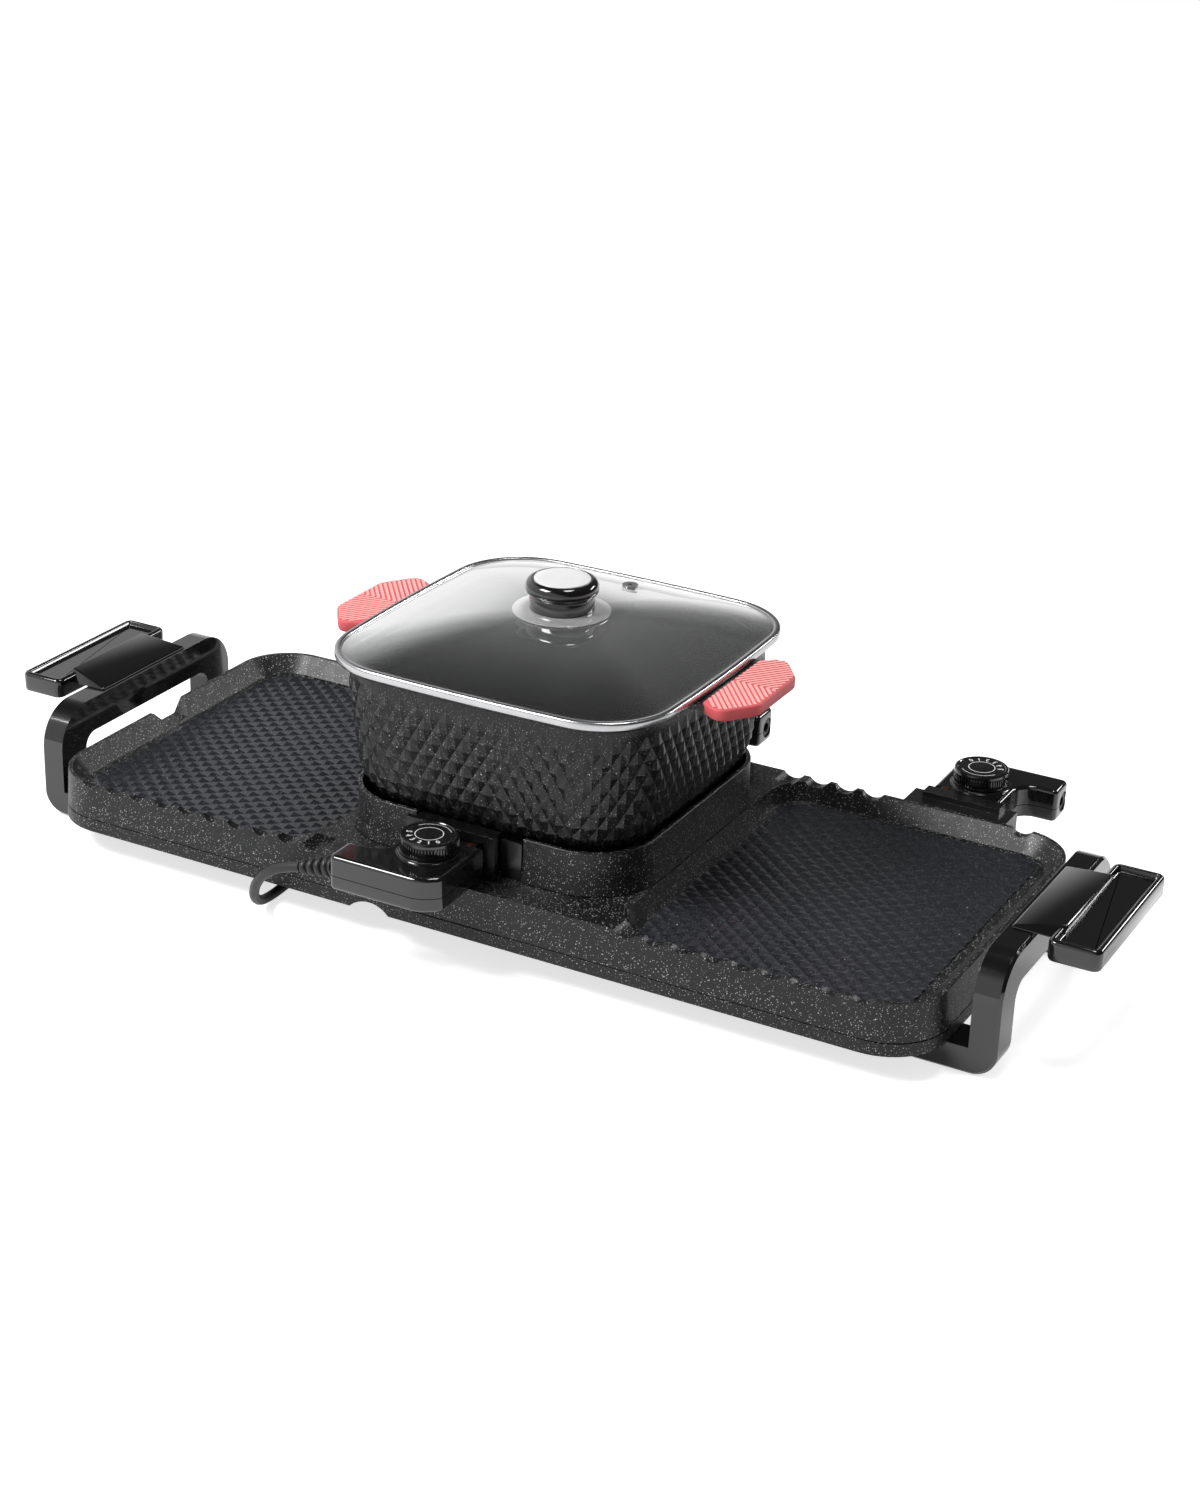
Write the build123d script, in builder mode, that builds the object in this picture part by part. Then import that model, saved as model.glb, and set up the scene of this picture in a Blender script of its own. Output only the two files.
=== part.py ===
from build123d import *
from math import pi, radians, tan
import os

# Tabletop grill with a divided hot pot in the middle. Millimetres, +Z up, X along the length,
# front towards -Y. Z is measured from the table and the origin lies under the middle of the
# appliance, whose rear grill control reaches further out than the front pot control.

# ------------------------------------------------------------------ driving dimensions

# levels above the table
stand_height = 20.0          # underside of the base
seam_height = 29.0           # top of the base shell
seam_gap = 0.8               # dark groove between base shell and casting
floor_underside = 40.5       # underside of the cooking floor
floor_height = 44.5          # top of the cooking floor
rim_height = 56.8            # rim of the grill and deck round the pot

# grill casting
tray_half_length = 340.0
tray_half_width = 143.8
tray_corner = 41.2
tray_draft = 0.054           # outward growth of the wall per millimetre downwards
rim_wall = 3.5
skirt_wall = 4.5
deck_thickness = 4.0
well_inner_x = 117.0         # rim of a well beside the collar
well_side_slope = 3.0        # run of the well's inner side
well_outer_slope = 10.5      # run of the well's outer sides
well_corner = 36.0
heater_opening_half = 97.0
heater_opening_corner = 30.0
scallop_pitch = 21.0
scallop_depth = 4.0
scallop_radius = 10.0
left_rests_start = -299.0
left_rests = 10
right_rests_start = 131.0
right_rests = 9
rear_rests_start = 119.0
rear_rests_grouped = 4
lone_rest_x = 296.0
drain_top_half = 19.0
drain_bottom_half = 11.0
drain_sill = 1.5             # height of the drain's lip above the cooking floor

# base shell
base_wall = 2.5
base_floor = 2.5
post_radius = 6.0
post_x = 200.0
post_inset_y = 45.8          # from the casting's side to the posts
post_y = tray_half_width - post_inset_y
end_post_inset = 28.0        # from the casting's end back to the end posts
end_post_x = tray_half_length - end_post_inset
cord_arch_x = -63.5
cord_arch_half = 15.5
cord_arch_height = 6.5
screw_radius = 2.0
screw_head_radius = 4.0
screw_head_height = 1.8
screw_clearance = 0.2

# collar round the pot
collar_half_x = 113.0
collar_half_y = 115.0
collar_corner = 47.0
collar_top = 88.0
collar_wall = 3.5
collar_flare = 3.0
collar_flare_height = 10.0
collar_foot = 2.0
notch_short = 32.5           # notch edge beside the control's arm, from the socket's middle
notch_long = 49.5            # notch edge on the other side

# end brackets and grips
bracket_stand = 16.0         # from the casting's end to the brackets
bracket_inner_x = tray_half_length + bracket_stand
bracket_thickness = 19.0
bracket_half_width = 104.0
bracket_leg = 28.0
bracket_top = 82.0
bracket_bar = 26.0
bracket_outer_round = 30.0
bracket_inner_round = 11.0
bracket_foot_reach = 37.0    # from a bracket inwards to its foot's end
bracket_foot_x = bracket_inner_x - bracket_foot_reach
bracket_heel_round = 17.0
bracket_edge = 2.0
pad_stand = 1.2
pad_radius = 9.0
pad_thickness = 3.0
pad_clearance = 0.2
grip_seat = 2.0              # from the bracket's inner face to the grip's
grip_plate_length = 29.0
grip_box_length = 36.0
grip_inner_x = bracket_inner_x + grip_seat
grip_step_x = grip_inner_x + grip_plate_length
grip_outer_x = grip_step_x + grip_box_length
grip_plate_half = 51.0
grip_box_half = 65.5
grip_plate_low = 83.5
grip_plate_high = 90.0
grip_box_bottom = 73.0
grip_box_top = 88.0
grip_border = 4.5
grip_dish = 3.5
grip_corner = 5.0
grip_screw_y = 36.0
edge_margin = 0.1           # tolerance when edges are picked by place

# controls, one size for all three
socket_stand = 11.0          # from the collar to the outer face of its two sockets
socket_flange_y = collar_half_y + socket_stand
grill_socket_stand = 26.2    # from the tray's side to the outer face of its socket
grill_flange_y = tray_half_width + grill_socket_stand
front_socket_x = -11.5
rear_socket_x = 24.0
grill_socket_inset = 97.0    # from the tray's end to the middle of its socket
grill_socket_x = tray_half_length - grill_socket_inset
pot_control_height = 57.5
grill_control_height = 34.0
control_height = 24.4
control_reach = 67.0         # from socket face to outer face
nose_half = 25.5
nose_insert = 10.0
arm_reach = 53.5
arm_depth = 25.5
arm_fillet = 10.0
control_front_round = 14.0
control_corner = 4.0
control_top_round = 2.0
housing_split = 12.0
housing_seam = 0.4
socket_clearance = 0.6
dial_y = 26.5
dial_radius = 20.0
dial_height = 13.2
dial_gap = 0.3
dial_seat_radius = 21.2
dial_seat_height = 1.2
dial_flutes = 24
flute_radius = 1.0
dial_shaft_radius = 3.0
dial_shaft_length = 8.0
shaft_clearance = 0.08
probe_radius = 2.5
probe_clearance = 0.3
probe_height = 6.2
probe_reach = 50.0
probe_tip_share = 0.8
probe_root = 12.0
pin_radius = 2.0
pin_clearance = 0.5
pin_seat_clearance = 0.1
pin_height = 3.4
pin_spread = 14.0
pin_reach = 18.0
lamp_radius = 2.6
lamp_x = 18.0
lamp_y = 4.0
lamp_proud = 0.6
lamp_depth = 3.0
gland_radius = 7.5
gland_depth = 6.0
gland_recess = 1.0
cord_port_y = 57.0
cord_port_height = 11.0

# sockets
pot_shroud_flange_half = 34.5
pot_shroud_half = 31.5
pot_shroud_top = 31.0
pot_shroud_flange = 4.0
pot_shroud_roof = 29.0
pot_shroud_depth = 15.5
pot_shroud_tail_half = 24.0
pot_shroud_tail_top = 14.5
pot_shroud_tail_end = 28.0
deck_clearance = 0.1
grill_shroud_half = 39.0
grill_shroud_top = 21.5
grill_shroud_frame_half = 29.5
grill_shroud_frame_top = 28.0
grill_shroud_frame_depth = 12.0
grill_shroud_bottom = -2.0
grill_wall_gap = 0.2
grill_terminal_reach = 27.8  # inner end of the grill's terminals, from the socket face

# heaters
element_radius = 3.0
element_bend = 12.0
element_clearance = 0.1
grill_loop_inset_x = 50.0    # from the tray's end to the element
grill_loop_inset_y = 25.8    # from the tray's side to the element
grill_loop_x = tray_half_length - grill_loop_inset_x
grill_loop_y = tray_half_width - grill_loop_inset_y
grill_loop_return = 60.0
boss_half = 8.0
boss_under_wall = 2.0
boss_overlap = 2.0           # how far bosses and lugs run into the plate
bore_overrun = 1.0
boss_drop = 5.5
boss_root = 1.0
plate_half = 84.0
plate_corner = 30.0
plate_thickness = 8.0
plate_leg_radius = 6.0
plate_leg_xy = 40.0
plate_boss_end = 30.0
plate_lug_inner = 18.0
pot_loop_half = 66.0
pot_loop_start = 56.0
pot_loop_end = 186.0
clamp_width = 18.0
clamp_stations = (-200.0, 0.0, 160.0)
clamp_length = 9.0
clamp_wall = 1.5

# pot
pot_bottom = 72.0
pot_rim = 181.9
pot_foot_gap = 1.5           # the pot's foot stays this far inside the collar's outline
pot_taper = 9.0              # the rim stands this far outside the foot
pot_foot_half_x = collar_half_x - pot_foot_gap
pot_foot_half_y = collar_half_y - pot_foot_gap
pot_rim_half_x = pot_foot_half_x + pot_taper
pot_rim_half_y = pot_foot_half_y + pot_taper
pot_bow = 4.0
pot_corner = 51.0
pot_base_round = 38.0
pot_wall = 3.2
pot_floor = 4.0
pot_lip = 4.0
pot_lip_height = 3.0
divider_x = 13.5
divider_swing = 7.5
divider_half_swing_y = 58.0
divider_thickness = 5.0
divider_drop = 9.0
divider_gap = 0.1

# ears and sleeves
ear_bottom = 177.0
ear_thickness = 4.5
ear_root_half = 50.0
ear_tip_half = 40.0
ear_reach = 47.5             # from the pot's foot to the ears' tips
ear_tip_x = pot_foot_half_x + ear_reach
sleeve_wall = 2.0
sleeve_gap = 0.2
sleeve_cover = 28.0          # length of ear inside a sleeve
sleeve_stand = 6.5           # sleeve past the ear's tip
sleeve_shoulder = 12.0       # from the ear's tip back to the widest place
sleeve_inner_x = ear_tip_x - sleeve_cover
sleeve_tip_x = ear_tip_x + sleeve_stand
sleeve_inner_half = 44.0
sleeve_half = 54.0
sleeve_shoulder_x = ear_tip_x - sleeve_shoulder
sleeve_straight_half = 28.0
sleeve_round = 12.0

# lid
lid_stand_x = 3.7            # lid past the pot's lip at the sides
lid_stand_y = 3.8            # lid past the pot's lip at the front and back
lid_half_x = pot_rim_half_x + pot_lip + lid_stand_x
lid_half_y = pot_rim_half_y + pot_lip + lid_stand_y
lid_bow = 4.2
lid_corner = 55.5
band_height = 6.1
band_sheet = 1.2
band_lower_lip = 7.0
band_upper_lip = 4.5
glass_edge_gap = 0.3
glass_thickness = 4.0
dome_rise = 19.6
dome_shares = (0.88, 0.68, 0.44, 0.22)
dome_power = 2.2
knob_hole_radius = 4.0
vent_x = 12.0
vent_y = 78.0
vent_radius = 4.0
vent_bore = 1.5

# knob
knob_flange_radius = 34.0
knob_flange_height = 2.4
knob_neck_radius = 23.0
knob_radius = 25.5
knob_height = 21.6
knob_waist_share = 0.2
knob_belly_rise = 1.0
knob_crown_margin = 1.5
knob_cap_radius = 19.7
knob_cap_thickness = 2.4
knob_cap_proud = 0.6
washer_radius = 22.5
washer_thickness = 1.6
knob_screw_radius = 2.4
knob_screw_head = 5.0
knob_screw_head_height = 2.6
knob_screw_length = 16.0

# cord and plug
cord_radius = 3.5
cord_gap = 0.2
bend_share = 0.45            # share of a run that a bend beside it may take
relief_root_radius = 7.2
relief_tip_radius = 4.9
relief_length = 27.0
relief_collar = 2.2
relief_tilt = 15.0
relief_ribs = 4
relief_rib_depth = 1.1
relief_rib_width = 2.6
relief_first_share = 0.7     # where the first groove starts, in groove pitches
relief_last_share = 0.4
coil_x = -150.0
coil_y = 186.0
coil_mean_radius = 38.5
coil_layers = 2
coil_columns = 3
plug_length = 34.0
plug_width = 24.0
plug_height = 14.0
plug_blade_length = 17.0
plug_blade_width = 6.3
plug_blade_thickness = 1.5
plug_blade_pitch = 12.7
plug_neck_share = 0.35       # tapered share of the plug's length
plug_neck_width_share = 0.45
plug_neck_height_share = 0.6

# ------------------------------------------------------------------ derived places

front_reach = socket_flange_y + control_reach
rear_reach = grill_flange_y + control_reach
appliance_y = -(rear_reach - front_reach) / 2
skirt_bottom = seam_height + seam_gap
base_inside = stand_height + base_floor
well_floor_inner_x = well_inner_x + well_side_slope
well_rim_outer_x = tray_half_length - rim_wall
well_floor_outer_x = well_rim_outer_x - well_outer_slope
well_rim_half_y = tray_half_width - rim_wall
well_floor_half_y = well_rim_half_y - well_outer_slope
grill_element_height = grill_control_height + pin_height
pot_element_height = pot_control_height + pin_height
plate_bottom = pot_bottom - plate_thickness
bracket_outer_x = bracket_inner_x + bracket_thickness
glass_bottom = pot_rim + band_sheet + glass_edge_gap
band_top = pot_rim + band_height
glass_edge_top = band_top - band_sheet - glass_edge_gap
dome_top = glass_edge_top + dome_rise * (1 - dome_shares[-1] ** dome_power)
knob_bottom = dome_top + knob_flange_height
knob_top = knob_bottom + knob_height
sleeve_bottom = ear_bottom - sleeve_gap - sleeve_wall
sleeve_top = ear_bottom + ear_thickness + sleeve_gap + sleeve_wall


def level(height):
    """Horizontal plane of the appliance at a height above the table."""
    return Plane((0, appliance_y, height))


def facing_front(y):
    """Upright plane across the depth at y, drawn with X to the right and Z up."""
    return Plane(origin=(0, appliance_y + y, 0), x_dir=(1, 0, 0), z_dir=(0, -1, 0))


def facing_end(x):
    """Upright plane across the length at x, drawn with Y to the right and Z up."""
    return Plane(origin=(x, appliance_y, 0), x_dir=(0, 1, 0), z_dir=(1, 0, 0))


def finish(piece, name):
    """Label a finished piece and write it."""
    piece.part.label = name
    export_step(piece.part, f"parts/{name}.step")


def tray_outline(height, inset=0.0):
    """Rounded outline of the drafted casting at a height, drawn in by an inset."""
    spread = (rim_height - height) * tray_draft - inset
    RectangleRounded(
        2 * (tray_half_length + spread), 2 * (tray_half_width + spread), tray_corner + spread
    )


def collar_outline(inset=0.0, mode=Mode.ADD):
    """Rounded square of the collar, drawn in by an inset."""
    RectangleRounded(
        2 * (collar_half_x - inset), 2 * (collar_half_y - inset), collar_corner - inset, mode=mode
    )


def bowed_square(half_x, half_y, bow, corner, mode=Mode.ADD):
    """Square with gently bowed sides and round corners."""
    x = half_x - bow
    y = half_y - bow
    with BuildSketch(mode=Mode.PRIVATE) as bowed:
        with BuildLine() as sides:
            ThreePointArc((-x, -y), (0, -half_y), (x, -y))
            ThreePointArc((x, -y), (half_x, 0), (x, y))
            ThreePointArc((x, y), (0, half_y), (-x, y))
            ThreePointArc((-x, y), (-half_x, 0), (-x, -y))
        make_face(sides.edges())
        fillet(bowed.vertices(), corner)
    add(bowed.sketch, mode=mode)


os.makedirs("parts", exist_ok=True)

# ------------------------------------------------------------------ base shell

with BuildPart() as base_shell:
    for height in (stand_height, seam_height):
        with BuildSketch(level(height)):
            tray_outline(height)
    loft()
    with BuildSketch(level(seam_height)):
        tray_outline(seam_height, base_wall)
    extrude(amount=base_inside - seam_height, mode=Mode.SUBTRACT)
    post_places = [(sx * post_x, sy * post_y) for sx in (-1, 1) for sy in (-1, 1)]
    post_places += [(-end_post_x, 0), (end_post_x, 0)]
    with BuildSketch(level(base_inside)):
        with Locations(*post_places):
            Circle(post_radius)
    extrude(amount=floor_underside - base_inside)
    with BuildSketch(level(stand_height)):
        with Locations(*post_places):
            Circle(screw_radius + screw_clearance)
    extrude(amount=floor_underside - stand_height, mode=Mode.SUBTRACT)
    with BuildSketch(level(stand_height)):
        with Locations(*post_places):
            Circle(screw_head_radius + screw_clearance)
    extrude(amount=screw_head_height, mode=Mode.SUBTRACT)
    with BuildSketch(facing_front(-tray_half_width - tray_corner / 2)):
        with BuildLine():
            ThreePointArc(
                (cord_arch_x - cord_arch_half, stand_height),
                (cord_arch_x, stand_height + cord_arch_height),
                (cord_arch_x + cord_arch_half, stand_height),
            )
            Line(
                (cord_arch_x + cord_arch_half, stand_height),
                (cord_arch_x - cord_arch_half, stand_height),
            )
        make_face()
    extrude(amount=-tray_corner / 2 - base_wall - cord_arch_height, mode=Mode.SUBTRACT)
finish(base_shell, "base_shell")

with BuildPart() as base_screws:
    with BuildSketch(level(stand_height)):
        with Locations(*post_places):
            Circle(screw_head_radius)
    extrude(amount=screw_head_height)
    with BuildSketch(level(stand_height)):
        with Locations(*post_places):
            Circle(screw_radius)
    extrude(amount=floor_underside + (floor_height - floor_underside) / 2 - stand_height)
finish(base_screws, "base_screws")

# ------------------------------------------------------------------ grill casting

with BuildPart() as grill_tray:
    for height in (skirt_bottom, rim_height):
        with BuildSketch(level(height)):
            tray_outline(height)
    loft()
    with BuildSketch(level(skirt_bottom)):
        tray_outline(skirt_bottom, skirt_wall)
    extrude(amount=floor_underside - skirt_bottom, mode=Mode.SUBTRACT)
    # thermostat boss and the ways in for the probe and the heater's ends
    boss_y = grill_flange_y - probe_reach - boss_half
    with BuildSketch(facing_front(boss_y)):
        with Locations((grill_socket_x, floor_underside - boss_drop)):
            Rectangle(2 * boss_half, boss_drop + boss_root, align=(Align.CENTER, Align.MIN))
    extrude(amount=boss_y - tray_half_width)
    probe_z = grill_control_height + probe_height
    with BuildSketch(facing_front(grill_flange_y)):
        with Locations((grill_socket_x, probe_z)):
            Circle(probe_radius + probe_clearance)
    extrude(amount=probe_reach + bore_overrun, mode=Mode.SUBTRACT)
    with BuildSketch(facing_front(grill_flange_y)):
        with Locations(*[(grill_socket_x + s * pin_spread, grill_element_height) for s in (-1, 1)]):
            Circle(element_radius + probe_clearance)
    extrude(amount=grill_flange_y - well_floor_half_y, mode=Mode.SUBTRACT)
    with BuildSketch(level(floor_underside)):
        RectangleRounded(
            2 * (well_inner_x - skirt_wall), 2 * (well_rim_half_y - skirt_wall), well_corner / 2
        )
    extrude(amount=rim_height - deck_thickness - floor_underside, mode=Mode.SUBTRACT)
    with BuildSketch(level(floor_underside)):
        RectangleRounded(2 * heater_opening_half, 2 * heater_opening_half, heater_opening_corner)
    extrude(amount=rim_height - floor_underside, mode=Mode.SUBTRACT)
    for side in (-1, 1):
        floor_middle = (well_floor_inner_x + well_floor_outer_x) / 2
        rim_middle = (well_inner_x + well_rim_outer_x) / 2
        with BuildSketch(level(floor_height)):
            with Locations((side * floor_middle, 0)):
                RectangleRounded(
                    well_floor_outer_x - well_floor_inner_x,
                    2 * well_floor_half_y,
                    well_corner - well_outer_slope,
                )
        with BuildSketch(level(rim_height)):
            with Locations((side * rim_middle, 0)):
                RectangleRounded(well_rim_outer_x - well_inner_x, 2 * well_rim_half_y, well_corner)
        loft(mode=Mode.SUBTRACT)
    # skewer rests along the rim: both front sides and the rear right
    rest_height = rim_height - scallop_depth + scallop_radius
    front_rests = [left_rests_start + scallop_pitch * i for i in range(left_rests)]
    front_rests += [right_rests_start + scallop_pitch * i for i in range(right_rests)]
    rear_rests = [rear_rests_start + scallop_pitch * i for i in range(rear_rests_grouped)]
    rear_rests += [lone_rest_x]
    for face_y, rests in ((-tray_half_width, front_rests), (well_floor_half_y, rear_rests)):
        depth = tray_half_width - well_floor_half_y
        with BuildSketch(facing_front(face_y - scallop_depth)):
            with Locations(*[(x, rest_height) for x in rests]):
                Circle(scallop_radius)
        extrude(amount=-depth - 2 * scallop_depth, mode=Mode.SUBTRACT)
    # drain through the left end wall
    drain_bottom = floor_height + drain_sill
    with BuildSketch(facing_end(-tray_half_length - rim_wall)):
        with BuildLine():
            Polyline(
                (-drain_top_half, rim_height),
                (-drain_bottom_half, drain_bottom),
                (drain_bottom_half, drain_bottom),
                (drain_top_half, rim_height),
                close=True,
            )
        make_face()
    extrude(amount=2 * rim_wall + well_outer_slope, mode=Mode.SUBTRACT)
    with BuildSketch(level(floor_underside)):
        with Locations(*post_places):
            Circle(screw_radius + screw_clearance)
    extrude(amount=(floor_height - floor_underside) / 2 + screw_clearance, mode=Mode.SUBTRACT)
finish(grill_tray, "grill_tray")

# ------------------------------------------------------------------ collar

with BuildPart() as pot_collar:
    with BuildSketch(level(rim_height)):
        collar_outline(-collar_flare)
    with BuildSketch(level(rim_height + collar_flare_height)):
        collar_outline()
    loft()
    with BuildSketch(level(rim_height + collar_flare_height)):
        collar_outline()
    extrude(amount=collar_top - rim_height - collar_flare_height)
    with BuildSketch(level(rim_height + collar_foot)):
        collar_outline(collar_wall)
    extrude(amount=collar_top - rim_height - collar_foot, mode=Mode.SUBTRACT)
    with BuildSketch(level(rim_height)):
        RectangleRounded(2 * heater_opening_half, 2 * heater_opening_half, heater_opening_corner)
    extrude(amount=collar_foot, mode=Mode.SUBTRACT)
    for face, socket_x in ((-1, front_socket_x), (1, rear_socket_x)):
        near_edge = socket_x + face * notch_short
        far_edge = socket_x - face * notch_long
        middle = face * (collar_half_y + collar_flare)
        with BuildSketch(level(rim_height + collar_foot)):
            with Locations(((near_edge + far_edge) / 2, middle)):
                Rectangle(notch_short + notch_long, 4 * (collar_wall + collar_flare))
        extrude(amount=collar_top - rim_height - collar_foot, mode=Mode.SUBTRACT)
        # outside the wall the notch runs down to the deck
        with BuildSketch(level(rim_height)):
            with Locations(((near_edge + far_edge) / 2, face * (collar_half_y + 2 * collar_flare))):
                Rectangle(notch_short + notch_long, 4 * collar_flare)
        extrude(amount=collar_foot, mode=Mode.SUBTRACT)
finish(pot_collar, "pot_collar")

# ------------------------------------------------------------------ end brackets

for side, name in ((-1, "left"), (1, "right")):
    with BuildPart() as bracket:
        with BuildSketch(facing_end(side * bracket_inner_x)):
            with BuildLine():
                Polyline(
                    (-bracket_half_width, pad_stand),
                    (-bracket_half_width, bracket_top),
                    (bracket_half_width, bracket_top),
                    (bracket_half_width, pad_stand),
                    close=True,
                )
            make_face()
            upper = bracket_top - bracket_bar
            lower = pad_stand - bracket_bar
            with Locations((0, (upper + lower) / 2)):
                RectangleRounded(
                    2 * (bracket_half_width - bracket_leg),
                    upper - lower,
                    bracket_inner_round,
                    mode=Mode.SUBTRACT,
                )
        extrude(amount=side * bracket_thickness)
        top_corners = bracket.edges().filter_by(Axis.X).group_by(Axis.Z)[-1]
        fillet(top_corners, bracket_outer_round)
        foot_length = bracket_inner_x - bracket_foot_x
        foot_y = bracket_half_width - bracket_leg / 2
        with BuildSketch(level(pad_stand)):
            foot_x = side * (bracket_foot_x + foot_length / 2)
            with Locations((foot_x, -foot_y), (foot_x, foot_y)):
                Rectangle(foot_length, bracket_leg)
        extrude(amount=stand_height - pad_stand)
        outboard = bracket.faces().sort_by(Axis.X)[0 if side < 0 else -1]
        heels = outboard.edges().filter_by(Axis.Y).group_by(Axis.Z)[0]
        fillet(heels, bracket_heel_round)
        outboard = bracket.faces().sort_by(Axis.X)[0 if side < 0 else -1]
        chamfer(outboard.edges(), bracket_edge)
        with BuildSketch(level(pad_stand)):
            pad_x = side * (bracket_foot_x + bracket_leg / 2)
            with Locations((pad_x, -foot_y), (pad_x, foot_y)):
                Circle(pad_radius + pad_clearance)
        extrude(amount=pad_thickness - pad_stand, mode=Mode.SUBTRACT)
        with BuildSketch(level(bracket_top)):
            bar_x = bracket_inner_x + bracket_thickness / 2
            with Locations(*[(side * bar_x, s * grip_screw_y) for s in (-1, 1)]):
                Circle(screw_radius + screw_clearance)
        extrude(amount=-bracket_bar, mode=Mode.SUBTRACT)
    finish(bracket, f"{name}_bracket")

    with BuildPart() as grip:
        with BuildSketch(facing_front(-grip_plate_half)):
            with BuildLine():
                Polyline(
                    (side * grip_inner_x, bracket_top),
                    (side * grip_inner_x, grip_plate_low),
                    (side * grip_step_x, grip_plate_high),
                    (side * (grip_step_x + grip_border), grip_plate_high - grip_border),
                    (side * (grip_step_x + grip_border), grip_box_bottom + grip_border),
                    (side * (bracket_outer_x + socket_clearance), grip_box_bottom + grip_border),
                    (side * (bracket_outer_x + socket_clearance), bracket_top),
                    close=True,
                )
            make_face()
        extrude(amount=-2 * grip_plate_half)
        plate_ends = grip.edges().filter_by(
            lambda edge: abs(edge.center().Y - appliance_y) > grip_plate_half - edge_margin
            and edge.center().Z > grip_plate_low
            and abs(edge.tangent_at(0).X) > abs(edge.tangent_at(0).Z)
        )
        chamfer(plate_ends, grip_border / 2)
        with BuildSketch(level(grip_box_bottom)):
            with Locations((side * (grip_step_x + grip_box_length / 2), 0)):
                RectangleRounded(grip_box_length, 2 * grip_box_half, grip_corner)
        extrude(amount=grip_box_top - grip_box_bottom)
        with BuildSketch(level(grip_box_top)):
            dish_length = grip_box_length - 2 * grip_border
            with Locations((side * (grip_step_x + grip_border + dish_length / 2), 0)):
                RectangleRounded(
                    dish_length, 2 * (grip_box_half - grip_border), grip_corner - grip_border / 2
                )
        extrude(amount=-grip_dish, mode=Mode.SUBTRACT)
        with BuildSketch(level(bracket_top)):
            with Locations(*[(side * bar_x, s * grip_screw_y) for s in (-1, 1)]):
                Circle(screw_radius + screw_clearance)
        extrude(amount=(grip_plate_low - bracket_top) + screw_radius, mode=Mode.SUBTRACT)
    finish(grip, f"{name}_grip")

with BuildPart() as grip_screws:
    screw_places = [(sx * bar_x, sy * grip_screw_y) for sx in (-1, 1) for sy in (-1, 1)]
    with BuildSketch(level(bracket_top - bracket_bar)):
        with Locations(*screw_places):
            Circle(screw_head_radius)
    extrude(amount=-screw_head_height)
    with BuildSketch(level(bracket_top - bracket_bar)):
        with Locations(*screw_places):
            Circle(screw_radius)
    extrude(amount=bracket_bar + screw_radius)
finish(grip_screws, "grip_screws")

with BuildPart() as foot_pads:
    pad_places = [
        (sx * (bracket_foot_x + bracket_leg / 2), sy * foot_y) for sx in (-1, 1) for sy in (-1, 1)
    ]
    with BuildSketch(level(0)):
        with Locations(*pad_places):
            Circle(pad_radius)
    extrude(amount=pad_thickness)
finish(foot_pads, "foot_pads")

# ------------------------------------------------------------------ grill heater

with BuildPart() as grill_element:
    ends_y = grill_flange_y - grill_terminal_reach
    with BuildLine() as loop:
        FilletPolyline(
            (grill_socket_x - pin_spread, appliance_y + ends_y, grill_element_height),
            (grill_socket_x - pin_spread, appliance_y + grill_loop_y, grill_element_height),
            (-grill_loop_x, appliance_y + grill_loop_y, grill_element_height),
            (-grill_loop_x, appliance_y - grill_loop_y, grill_element_height),
            (grill_loop_x, appliance_y - grill_loop_y, grill_element_height),
            (grill_loop_x, appliance_y + grill_loop_return, grill_element_height),
            (grill_socket_x + pin_spread, appliance_y + grill_loop_return, grill_element_height),
            (grill_socket_x + pin_spread, appliance_y + ends_y, grill_element_height),
            radius=element_bend,
        )
    with BuildSketch(Plane(origin=loop.line @ 0, z_dir=loop.line % 0)):
        Circle(element_radius)
    sweep()
finish(grill_element, "grill_element")

with BuildPart() as element_clamps:
    clamp_places = [(x, y * grill_loop_y) for x in clamp_stations for y in (-1, 1)]
    clamp_base = grill_element_height - element_radius - clamp_wall
    with BuildSketch(level(clamp_base)):
        with Locations(*clamp_places):
            Rectangle(clamp_length, clamp_width)
    extrude(amount=floor_underside - clamp_base)
    for y in (-grill_loop_y, grill_loop_y):
        with BuildSketch(facing_end(-tray_half_length)):
            with Locations((y, grill_element_height)):
                Circle(element_radius + element_clearance)
                Rectangle(
                    2 * (element_radius + element_clearance),
                    floor_underside - grill_element_height,
                    align=(Align.CENTER, Align.MIN),
                )
        extrude(amount=2 * tray_half_length, mode=Mode.SUBTRACT)
finish(element_clamps, "element_clamps")

# ------------------------------------------------------------------ pot heater

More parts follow.
